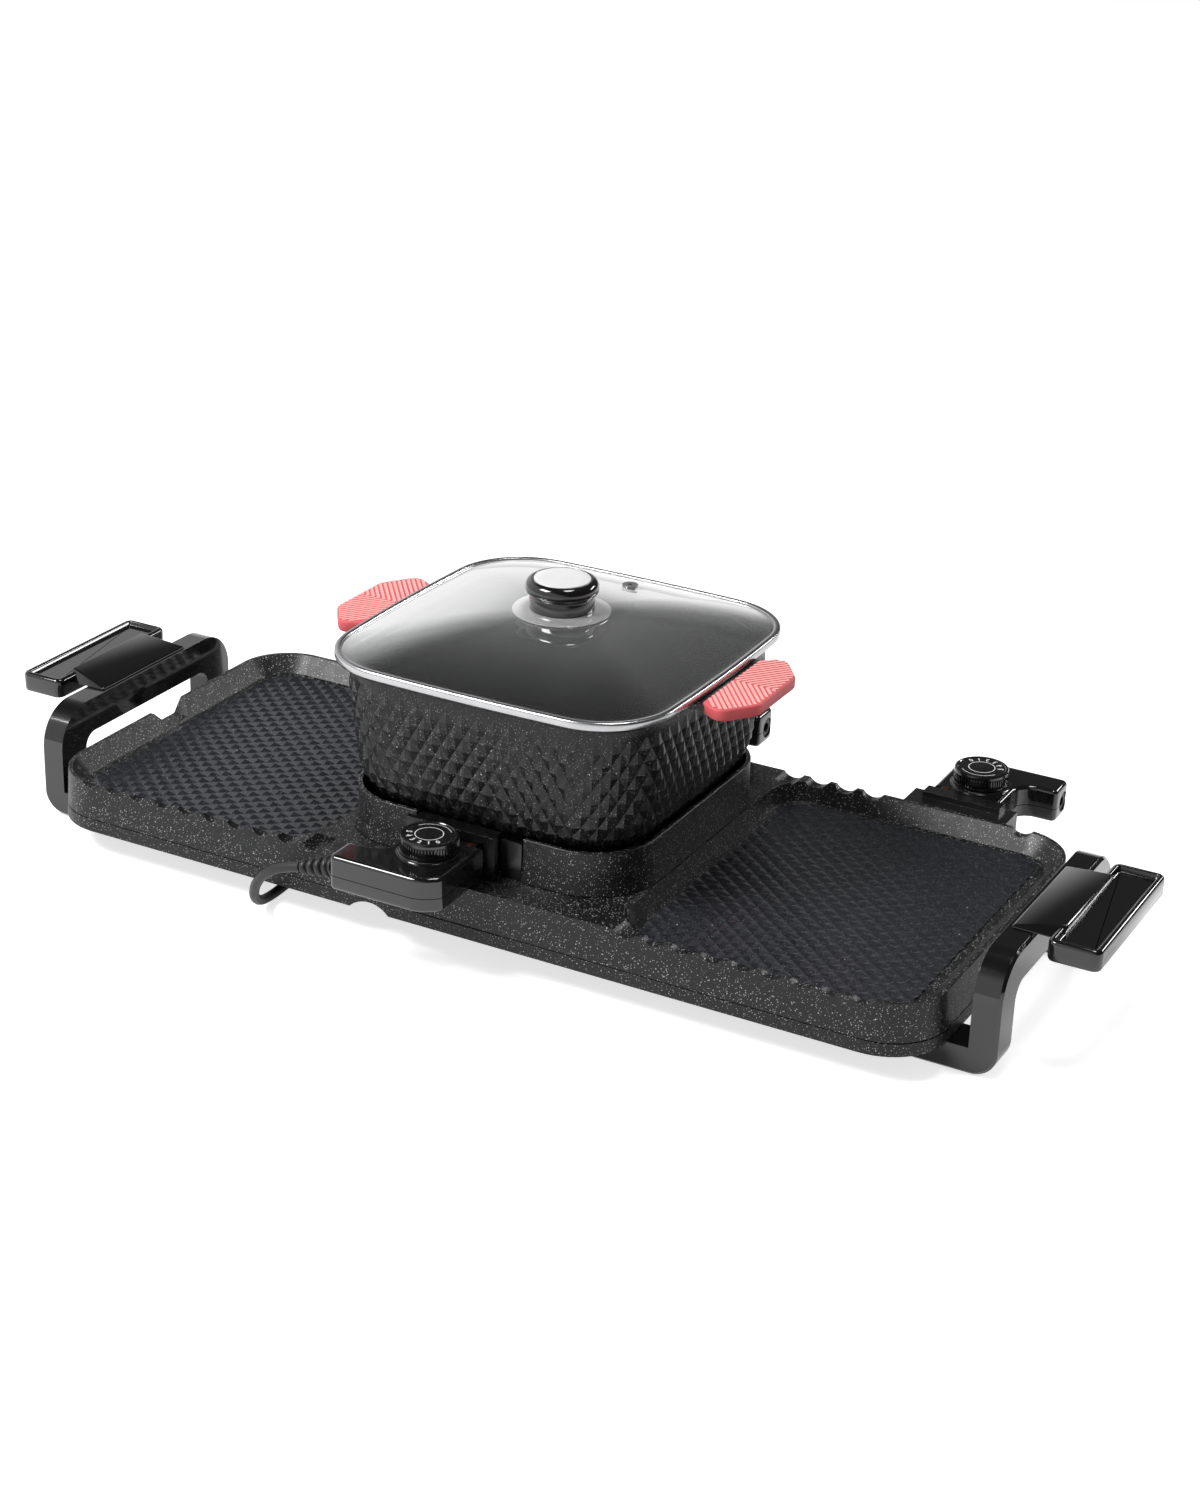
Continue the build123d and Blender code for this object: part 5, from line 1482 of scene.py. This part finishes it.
@dataclass(frozen=True)
class DialPrint:
    """Printed ring, sweep, ticks and numbers of a dial, in millimetres and degrees."""

    ring: tuple[float, float] = (9.2, 9.8)
    sweep: tuple[float, float] = (14.6, 15.1)
    sweep_ends: tuple[float, float] = (40.0, 150.0)
    tick: tuple[float, float] = (11.2, 12.1)
    tick_half: float = 1.6
    numbers: str = "543210"
    first: float = 196.0
    step: float = 26.0
    number_radius: float = 14.0
    number_size: float = 5.2
    number_weight: float = 0.12
    arc_step: float = 5.0

    def mesh(self, name: str) -> Mesh:
        """Flat mesh of the print, round the origin."""
        work = bmesh.new()
        self.band(work, self.ring, 0.0, 360.0)
        self.band(work, self.sweep, *self.sweep_ends)
        ways = [self.first + k * self.step for k in range(len(self.numbers))]
        for way in ways:
            self.band(work, self.tick, way - self.tick_half, way + self.tick_half)
        for text, way in zip(self.numbers, ways):
            self.number(work, text, way)
        mesh = bpy.data.meshes.new(name)
        work.to_mesh(mesh)
        work.free()
        return mesh

    def band(self, work: bmesh.types.BMesh, radii: tuple[float, float], start: float, stop: float) -> None:
        """Adds a flat band along an arc."""
        steps = max(2, int(abs(stop - start) / self.arc_step))
        pairs = []
        for i in range(steps + 1):
            way = math.radians(start + (stop - start) * i / steps)
            pairs.append([work.verts.new((r * math.cos(way), r * math.sin(way), 0.0)) for r in radii])
        for (a, b), (c, d) in zip(pairs, pairs[1:]):
            work.faces.new((a, b, d, c))

    def number(self, work: bmesh.types.BMesh, text: str, degrees: float) -> None:
        """Adds a flat number that stands on an arc, read from outside the dial."""
        curve = bpy.data.curves.new("number", "FONT")
        curve.body = text
        curve.size = self.number_size
        curve.align_x = "CENTER"
        curve.align_y = "CENTER"
        curve.offset = self.number_weight
        holder = bpy.data.objects.new("number", curve)
        bpy.context.scene.collection.objects.link(holder)
        bpy.context.view_layer.update()
        mesh = bpy.data.meshes.new_from_object(holder.evaluated_get(bpy.context.evaluated_depsgraph_get()))
        way, radius = math.radians(degrees), self.number_radius
        place = Matrix.Translation((radius * math.cos(way), radius * math.sin(way), 0.0))
        mesh.transform(place @ Matrix.Rotation(way + math.pi / 2, 4, "Z"))
        work.from_mesh(mesh)
        bpy.data.objects.remove(holder)
        bpy.data.curves.remove(curve)
        bpy.data.meshes.remove(mesh)


@dataclass
class Control(Section):
    """Plug-in thermostat control: housing halves, dial seat, socket shroud and cheek, port plug, and the dial with its
    ribs and print.
    """

    name: str
    socket_x: float
    flange_y: float
    face: int
    height: float
    housing_height: float = 24.4
    split: float = 10.2
    seam: float = 0.5
    top_round: float = 3.0
    nose_half: float = 25.5
    nose_side: float = 28.6
    front: float = -67.0
    arm_end: float = -53.5
    arm_back: float = -41.5
    port_y: float = -57.0
    port_height: float = 11.0
    port_radius: float = 7.6
    seat_radius: float = 21.4
    notch_from: float = 33.2
    notch_to: float = 49.2
    notch_top: float = 84.0
    dial_reach: float = 26.5
    dial_radius: float = 20.0
    dial_bottom: float = 25.9
    dial_top: float = 37.6
    face_sink: float = 0.5
    print_lift: float = 0.04
    ribs: int = 60
    rib_half: float = 0.62
    rib_crest: float = 0.45
    rib_foot: float = 1.4
    rib_gap: float = 0.1
    rib_ends: float = 2.35
    rib_drop: float = 0.7
    rib_round: tuple[float, float] = (0.25, 0.5)
    notch_bottom: float = 56.9
    cheek_depth: tuple[float, float] = (10.5, 14.0)
    cheek_corner: float = 0.6
    port_inset: float = 2.5
    port_span: tuple[float, float] = (-6.0, 3.5)
    grill_ceiling: float = 1.5

    @property
    def control(self) -> Body:
        """Body of the control."""
        return Body(f"{self.name}_control")

    @property
    def dial(self) -> Body:
        """Body of the dial."""
        return Body(f"{self.name}_dial")

    def centre(self, height: float) -> Place:
        """Point on the dial's axis, a height above the control's underside."""
        return self.socket_x, self.flange_y * self.face + self.dial_reach * self.face, self.height + height

    def build(self) -> None:
        """Builds the control's pieces."""
        name = self.name
        for half in ("lower", "upper"):
            ridden(self.shell(half), self.control, Slot.GLOSS, f"{name}_{half}_housing")
        ridden(self.seat(), self.control, Slot.GLOSS)
        ceiling = self.height + self.housing_height + self.grill_ceiling if name == "grill" else None
        shroud = Maker.rounded(
            f"{name}_socket_shroud", f"{name}_socket", self.finishes.satin, 0.7, 2, 30.0, ceiling
        )
        ridden(shroud, Body.TRAY, Slot.GLOSS)
        if name != "grill":
            ridden(self.filler(), Body.TRAY, Slot.GLOSS)
        if name != "front":
            plug = Maker.rounded(f"{name}_port_plug", f"{name}_port_gland", self.finishes.matte, 0.4, 2, 40.0)
            ridden(plug, self.control, Slot.MATTE)
        ridden(self.knob(), self.dial, Slot.DIAL, f"{name}_dial")
        ridden(self.grips(), self.dial, Slot.DIAL)
        ridden(self.marks(), self.dial, Slot.DIAL)

    def placed(self, u: float, v: float, z: float) -> Vector:
        """Point from the control's own axes: across, towards the appliance, and up."""
        return Vector((self.socket_x - self.face * u, self.face * (self.flange_y - v), self.height + z))

    def plan(self) -> Plan:
        """Outline of the housing: the nose and the arm beside it."""
        n, side, front = self.nose_half, self.nose_side, self.front
        return Plan(
            [
                (-n, 9.5, 0.5),
                (-n, self.arm_back, 13.0),
                (self.arm_end, self.arm_back, 4.0),
                (self.arm_end, front, 5.0),
                (side - 12.0, front, 22.0),
                (side, front + 10.0, 8.0),
                (side - 1.0, -3.0, 1.2),
                (n, -2.4, 0.4),
                (n, 9.5, 0.5),
            ]
        )

    def stack(self, plan: Plan, levels: Profile) -> list[Ring]:
        """Rings of an outline in the control's own axes, by their inset and height."""
        return [[self.placed(p.x, p.y, z) for p in plan.ring(inset, 0.0)] for inset, z in levels]

    def shell(self, half: str) -> Object:
        """Lower or upper half of the housing, with the dark seam between them."""
        top, split, seam, turn = self.housing_height, self.split, self.seam, self.top_round
        if half == "lower":
            levels = [(2.2, 0.0), (0.9, 0.4), (0.25, 1.4), (0.0, 3.0), (0.0, split - seam), (0.5, split - seam / 2)]
        else:
            levels = [(0.5, split - seam / 2), (0.0, split), (0.0, top - turn)]
            for k in range(1, 6):
                way = math.pi / 2 * k / 5
                levels.append((turn * (1 - math.cos(way)), top - turn + turn * math.sin(way)))
            levels.append((turn + 0.7, top))
        name = f"{self.name}_{half}_shell"
        made = Maker.loft(name, self.stack(self.plan(), levels), self.finishes.gloss, angle=40.0, flat=True)
        if self.name != "front":
            self.bore(made)
        return made

    def bore(self, shell: Object) -> None:
        """Cuts the round lead port into the arm's end."""
        middle = self.placed(self.arm_end + self.port_inset, self.port_y, self.port_height)
        way = Vector((-self.face, 0.0, 0.0))
        radius, (low, high) = self.port_radius, self.port_span
        profile = [(0.0, low), (radius, low), (radius, high), (0.0, high)]
        cutter = Maker.turned("port_cutter", profile, middle, self.finishes.matte, axis=way, count=48)
        cut = shell.modifiers.new("lead_port", "BOOLEAN")
        cut.operation = "DIFFERENCE"
        cut.object = cutter
        cut.solver = "EXACT"
        Maker.settled(shell)
        bpy.data.objects.remove(cutter)
        Maker.smooth(shell.data, 40.0)

    def seat(self) -> Object:
        """Stepped seat under the dial."""
        r, z = self.seat_radius, self.housing_height
        profile = [(0.0, z - 1.0), (r + 0.6, z - 1.0), (r + 0.6, z + 0.1), (r + 0.3, z + 0.35), (r - 0.4, z + 0.4)]
        profile += [(r - 0.6, z + 0.7), (r - 0.7, z + 1.1), (r - 1.1, z + 1.3), (0.0, z + 1.3)]
        return Maker.turned(f"{self.name}_dial_seat", profile, self.centre(0.0), self.finishes.gloss, count=96)

    def filler(self) -> Object:
        """Black cheek that closes the collar's notch beside the socket."""
        low, high = self.notch_bottom - self.height, self.notch_top - self.height
        near, far = self.cheek_depth
        plan = Plan.rectangle((self.notch_from, near), (self.notch_to, far), self.cheek_corner)
        levels = [(0.0, low), (0.0, high - 1.0), (0.3, high - 0.3), (1.0, high)]
        rings = self.stack(plan, levels)
        return Maker.loft(f"{self.name}_socket_cheek", rings, self.finishes.satin, angle=40.0, flat=True)

    def knob(self) -> Object:
        """Turned body of the dial with a sunk face."""
        low, high, r = self.dial_bottom, self.dial_top, self.dial_radius
        profile = [(0.0, low - 9.0), (2.9, low - 9.0), (2.9, low), (r - 0.5, low), (r, low + 0.4)]
        profile += [(r, low + 1.4), (r - 1.1, low + 1.9), (r - 1.1, high - 3.4), (r - 0.3, high - 3.0)]
        profile += [(r - 0.3, high - 1.2), (r - 0.8, high - 0.35), (r - 1.7, high), (r - 2.5, high - 0.05)]
        profile += [(r - 3.0, high - self.face_sink), (0.0, high - self.face_sink)]
        return Maker.turned(f"{self.name}_dial_knob", profile, self.centre(0.0), self.finishes.dial, count=120)

    def grips(self) -> Object:
        """Fine upright ribs round the dial."""
        centre = self.centre((self.dial_bottom + self.dial_top) / 2 - self.rib_drop)
        inner, outer = self.dial_radius - self.rib_foot, self.dial_radius - self.rib_gap
        half, crest = self.rib_half, self.rib_half * self.rib_crest
        tall = (self.dial_top - self.dial_bottom) / 2 - self.rib_ends
        draw, rise = self.rib_round
        rings = []
        for level, inset in ((-tall, draw), (-tall + rise, 0.0), (tall - rise, 0.0), (tall, draw)):
            corners = ((inner, -half), (outer - inset, -crest), (outer - inset, crest), (inner, half))
            rings.append([Vector((x, y, level)) for x, y in corners])
        rib = Maker.loft(f"{self.name}_dial_ribs", rings, self.finishes.dial, angle=50.0)
        rib.data.transform(Matrix.Translation((0.0, -MIDDLE_Y * MM, 0.0)))
        step = 2 * math.pi / self.ribs
        values = {"Count": self.ribs, "Centre": metres(centre), "Step": step, "Material": self.finishes.dial}
        return self.patterns.round_array.run(rib, **values)

    def marks(self) -> Object:
        """Print on the dial's face."""
        mesh = DialPrint().mesh(f"{self.name}_dial_marks")
        place = Matrix.Translation(metres(self.centre(self.dial_top - self.face_sink + self.print_lift)))
        turn = math.radians(0.0 if self.face < 0 else 180.0)
        mesh.transform(place @ Matrix.Rotation(turn, 4, "Z") @ Matrix.Scale(MM, 4))
        return Maker.piece(mesh.name, mesh, self.finishes.ink)


# ---------------------------------------------------------------- mains lead


@dataclass
class MainsLead(Section):
    """Lead from the front control: strain relief, run, coil, tail and plug."""

    radius: float = 3.5
    relief_tilt: float = 15.0
    relief_sink: float = 2.2
    relief_gap: float = 0.2
    relief_beads: int = 4
    bead_radius: float = 7.3
    bead_taper: float = 0.75
    bead_share: float = 0.97
    bead_form: Profile = ((0.08, 0.66), (0.14, 0.9), (0.3, 1.0), (0.55, 1.0), (0.7, 0.9), (0.78, 0.66), (0.94, 0.62))
    mouth: Place = (-65.0, -183.0, 68.5)
    relief_length: float = 27.0
    coil_x: float = -150.0
    coil_y: float = 186.0
    outer_radius: float = 45.5
    turns: float = 4.25
    inner_turns: float = 2.0
    climb_turns: float = 0.25
    pitch: float = 7.0
    resting: float = 3.6
    climb: float = 7.1
    swell: float = 0.99
    steps: int = 16
    length: float = 1.49
    tail: tuple[Place, ...] = ((-133.0, 232.0, 9.8), (-115.0, 228.0, 7.2), (-98.0, 223.0, 7.0))
    bend_end: int = 6
    laid_run: tuple[Place, ...] = (
        (-110.0, -183.0, 57.0),
        (-125.0, -181.0, 47.0),
        (-136.0, -176.0, 33.0),
        (-143.0, -167.0, 18.0),
        (-148.0, -152.0, 7.5),
        (-151.0, -132.0, 3.8),
        (-153.0, -105.0, 3.7),
        (-157.0, -60.0, 3.7),
        (-160.0, -12.0, 3.6),
        (-167.0, 36.0, 3.7),
        (-177.0, 82.0, 3.6),
        (-188.0, 126.0, 3.7),
        (-195.0, 162.0, 3.6),
    )

    def coil(self) -> list[Place]:
        """Points of the coil: inwards on the floor, up in the middle, and outwards on top."""
        points: list[Place] = []
        for i in range(int(self.turns * self.steps) + 1):
            past = i / self.steps - self.inner_turns
            inward = self.pitch * min(past + self.inner_turns, self.inner_turns)
            radius = self.outer_radius - inward + self.pitch * max(past - self.climb_turns, 0.0)
            height = self.resting + self.climb * min(max(past / self.climb_turns, 0.0), 1.0)
            way = math.pi - 2 * math.pi * i / self.steps
            reach = radius / self.swell
            points.append((self.coil_x + reach * math.cos(way), self.coil_y + reach * math.sin(way), height))
        return points

    def build(self) -> None:
        tilt = math.radians(self.relief_tilt)
        way = Vector((-math.cos(tilt), 0.0, -math.sin(tilt)))
        start = Vector(self.mouth) + Vector((-self.relief_sink, 0.0, 0.0))
        ridden(self.relief(start, way), Body.FRONT_CONTROL, Slot.CORD, "strain_relief")
        first = start + way * self.relief_length + way * self.relief_gap
        cord, path = self.tube([first, *self.laid_run, *self.coil(), *self.tail])
        away = metres(self.laid_run[self.bend_end])
        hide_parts("cord_run", "cord_coil", "cord_tail")
        metres(first)
        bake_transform(cord)
        plug = Maker.rounded("plug_body", "mains_plug", self.finishes.jacket, 1.2, 3, 30.0)
        ridden(plug, Body.TRAY, Slot.CORD)
        metres(first)

    def tube(self, points: Sequence[Sequence[float]]) -> tuple[Object, list[Place]]:
        """Draws the lead as one smooth tube.

        Args:
            points: points that steer its centreline, in millimetres.

        Returns:
            The tube, and the points of its centreline in metres.
        """
        curve = bpy.data.curves.new("mains_cord", "CURVE")
        curve.dimensions = "3D"
        curve.bevel_resolution = 4
        curve.resolution_u = 6
        curve.use_fill_caps = True
        curve.materials.append(self.finishes.jacket)
        spline = curve.splines.new("NURBS")
        spline.points.add(len(points) - 1)
        for drawn_point, point in zip(spline.points, points):
            drawn_point.co = (*metres(point), 1.0)
        spline.order_u = 3
        spline.use_endpoint_u = True
        drawn = bpy.data.objects.new("cord_curve", curve)
        bpy.context.scene.collection.objects.link(drawn)
        meshes: list[Mesh] = []
        for depth in (self.radius * MM, 0.0):
            curve.bevel_depth = depth
            bpy.context.view_layer.update()
            graph = bpy.context.evaluated_depsgraph_get()
            meshes.append(bpy.data.meshes.new_from_object(drawn.evaluated_get(graph)))
        bpy.data.objects.remove(drawn)
        path = [tuple(vertex.co) for vertex in meshes[1].vertices]
        Maker.outward(meshes[0])
        Maker.smooth(meshes[0], 50.0)
        return Maker.piece("mains_cord", meshes[0]), path

    def relief(self, start: Vector, way: Vector) -> Object:
        """Tapered strain relief of rounded beads."""
        profile: list[tuple[float, float]] = [(0.0, -1.5), (6.6, -1.5), (6.6, 0.4), (4.6, 0.6)]
        span = self.relief_length * self.bead_share / self.relief_beads
        for bead in range(self.relief_beads):
            low, radius = 0.7 + bead * span, self.bead_radius - self.bead_taper * bead
            profile += [(radius * share, low + span * t) for t, share in self.bead_form]
        profile += [(3.9, self.relief_length - 0.2), (3.6, self.relief_length), (0.0, self.relief_length)]
        jacket = self.finishes.jacket
        return Maker.turned("lead_strain_relief", profile, start, jacket, axis=way, count=40, angle=60.0)


# ---------------------------------------------------------------- plain nodes


@dataclass(frozen=True)
class Coat:
    """A finish for CAD nodes that stay as they are, by its short name."""

    finish: str
    nodes: tuple[str, ...]


PLAIN_COATS = (
    Coat("steel", ("base_screws", "grip_screws", "element_clamps", "vent_grommet")),
    Coat("steel", ("front_probe", "rear_probe", "grill_probe")),
    Coat("heater", ("grill_element", "front_pot_element", "rear_pot_element")),
    Coat("cast", ("pot_heater_plate",)),
    Coat("brass", ("front_terminal_pins", "rear_terminal_pins", "grill_terminal_pins", "plug_blades")),
    Coat("lamp", ("front_lamp_lens", "rear_lamp_lens", "grill_lamp_lens")),
    Coat("rubber", ("foot_pads",)),
)


def dress_plain_nodes(nodes: dict[str, Object], finishes: Finishes) -> None:
    """Gives the CAD nodes that stay their finishes."""
    for coat in PLAIN_COATS:
        for name in coat.nodes:
            mesh = nodes[name].data
            mesh.materials.clear()
            mesh.materials.append(finishes.materials[coat.finish])


# ---------------------------------------------------------------- studio


@dataclass(frozen=True)
class Softbox:
    """Area lamp aimed at a point."""

    name: str
    place: Place
    target: Place
    size: tuple[float, float]
    power: float

    def build(self) -> None:
        """Adds the lamp."""
        lamp = bpy.data.lights.new(self.name, "AREA")
        lamp.shape = "RECTANGLE"
        lamp.size, lamp.size_y = self.size
        lamp.energy = self.power
        holder = bpy.data.objects.new(self.name, lamp)
        holder.location = self.place
        way = Vector(self.target) - Vector(self.place)
        holder.rotation_euler = way.to_track_quat("-Z", "Y").to_euler()
        bpy.context.scene.collection.objects.link(holder)


@dataclass
class Studio:
    """Camera, lamps, world and floor."""

    camera_place: Place = (0.8583, -1.59337, 0.89673)
    azimuth: float = 27.7
    elevation: float = 23.95
    roll: float = 1.95
    lens: float = 67.13
    sensor: float = 36.0
    lamps: tuple[Softbox, ...] = (
        Softbox("key_softbox", (-1.15, -1.25, 2.0), (0.0, 0.0, 0.1), (1.1, 0.8), 62.0),
        Softbox("edge_strip", (1.5, 2.3, 1.35), (0.2, 0.0, 0.1), (1.3, 0.3), 20.0),
        Softbox("top_softbox", (0.3, 0.2, 2.3), (0.0, 0.0, 0.1), (1.0, 0.5), 16.0),
    )
    ambient: float = 0.36
    horizon: float = 0.95
    ceiling: float = 0.07
    fade_start: float = 0.1
    fade_stop: float = 0.5
    side_lean: float = 0.75
    floor_reach: float = 14.0

    def build(self) -> None:
        """Builds the studio."""
        self.camera()
        for lamp in self.lamps:
            lamp.build()
        self.world()
        self.floor()
        bpy.context.scene.view_settings.view_transform = "Standard"

    def camera(self) -> None:
        """Camera at the viewing angle."""
        yaw, pitch = math.radians(self.azimuth), math.radians(self.elevation)
        turn = math.radians(self.roll)
        back = Vector((math.sin(yaw) * math.cos(pitch), -math.cos(yaw) * math.cos(pitch), math.sin(pitch)))
        right = Vector((math.cos(yaw), math.sin(yaw), 0.0))
        up = right.cross(-back)
        rolled_right = math.cos(turn) * right + math.sin(turn) * up
        rolled_up = -math.sin(turn) * right + math.cos(turn) * up
        lens = bpy.data.cameras.new("camera")
        lens.sensor_fit = "VERTICAL"
        lens.sensor_height = self.sensor
        lens.lens = self.lens
        lens.clip_end = 50.0
        holder = bpy.data.objects.new("camera", lens)
        axes = Matrix((rolled_right, rolled_up, back)).transposed().to_4x4()
        holder.matrix_world = Matrix.Translation(self.camera_place) @ axes
        bpy.context.scene.collection.objects.link(holder)
        bpy.context.scene.camera = holder

    def world(self) -> None:
        """Pale surroundings: white where seen, a bright horizon under a dark ceiling where mirrored."""
        world = bpy.data.worlds.new("surroundings")
        bpy.context.scene.world = world
        graph = Graph(world)
        camera, glossy, through = graph.rays()
        way = graph.add("ShaderNodeTexCoord", output="Generated")
        x, y, z = (graph.add("ShaderNodeSeparateXYZ", None, {0: way}, i) for i in range(3))
        yaw = math.radians(self.azimuth)
        left = x * -math.cos(yaw) + y * -math.sin(yaw)
        lean = z - left * self.side_lean
        limits: dict[str | int, Value] = {"Value": lean, "From Min": self.fade_start, "From Max": self.fade_stop}
        limits |= {"To Min": self.horizon, "To Max": self.ceiling}
        mirrored = graph.add("ShaderNodeMapRange", {"interpolation_type": "SMOOTHSTEP"}, limits)
        seen = (camera + through).clamped()
        strength = seen + (1.0 - seen) * (glossy * mirrored + (1.0 - glossy) * self.ambient)
        background = graph.add("ShaderNodeBackground", None, {"Strength": strength})
        graph.close(background, "ShaderNodeOutputWorld")

    def floor(self) -> None:
        """Large pale floor."""
        mesh = bpy.data.meshes.new("studio_floor")
        corners = [(x * self.floor_reach, y * self.floor_reach, 0.0) for x, y in ((-1, -1), (1, -1), (1, 1), (-1, 1))]
        mesh.from_pydata(corners, [], [(0, 1, 2, 3)])
        Maker.piece("studio_floor", mesh, PaleFloor("pale_floor").material())


# ---------------------------------------------------------------- assembly


# name, across, the socket's flange in depth, the side it faces, and the height of its underside
CONTROLS = (("front", -11.5, 126.0, -1, 57.5), ("rear", 24.0, 126.0, 1, 57.5), ("grill", 243.0, 170.0, 1, 34.0))


def main() -> None:
    """Builds every sub-assembly in order and reports it."""
    logging.basicConfig(level=logging.INFO, format="%(name)s: %(message)s")
    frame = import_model()
    finishes, patterns = Finishes(), Patterns()
    builders: dict[str, Section | Studio] = {
        "studio": Studio(),
        "mains lead": MainsLead(finishes, patterns),
        "grill": Grill(finishes, patterns),
        "pot": Pot(finishes, patterns),
        "lid": Lid(finishes, patterns),
        "handles": Handles(finishes, patterns),
    }
    builders |= {f"{place[0]} control": Control(finishes, patterns, *place) for place in CONTROLS}
    for name, builder in builders.items():
        builder.build()
        log.info("%s built", name)
    dress_plain_nodes(frame["nodes"], finishes)


if __name__ == "__main__":
    main()
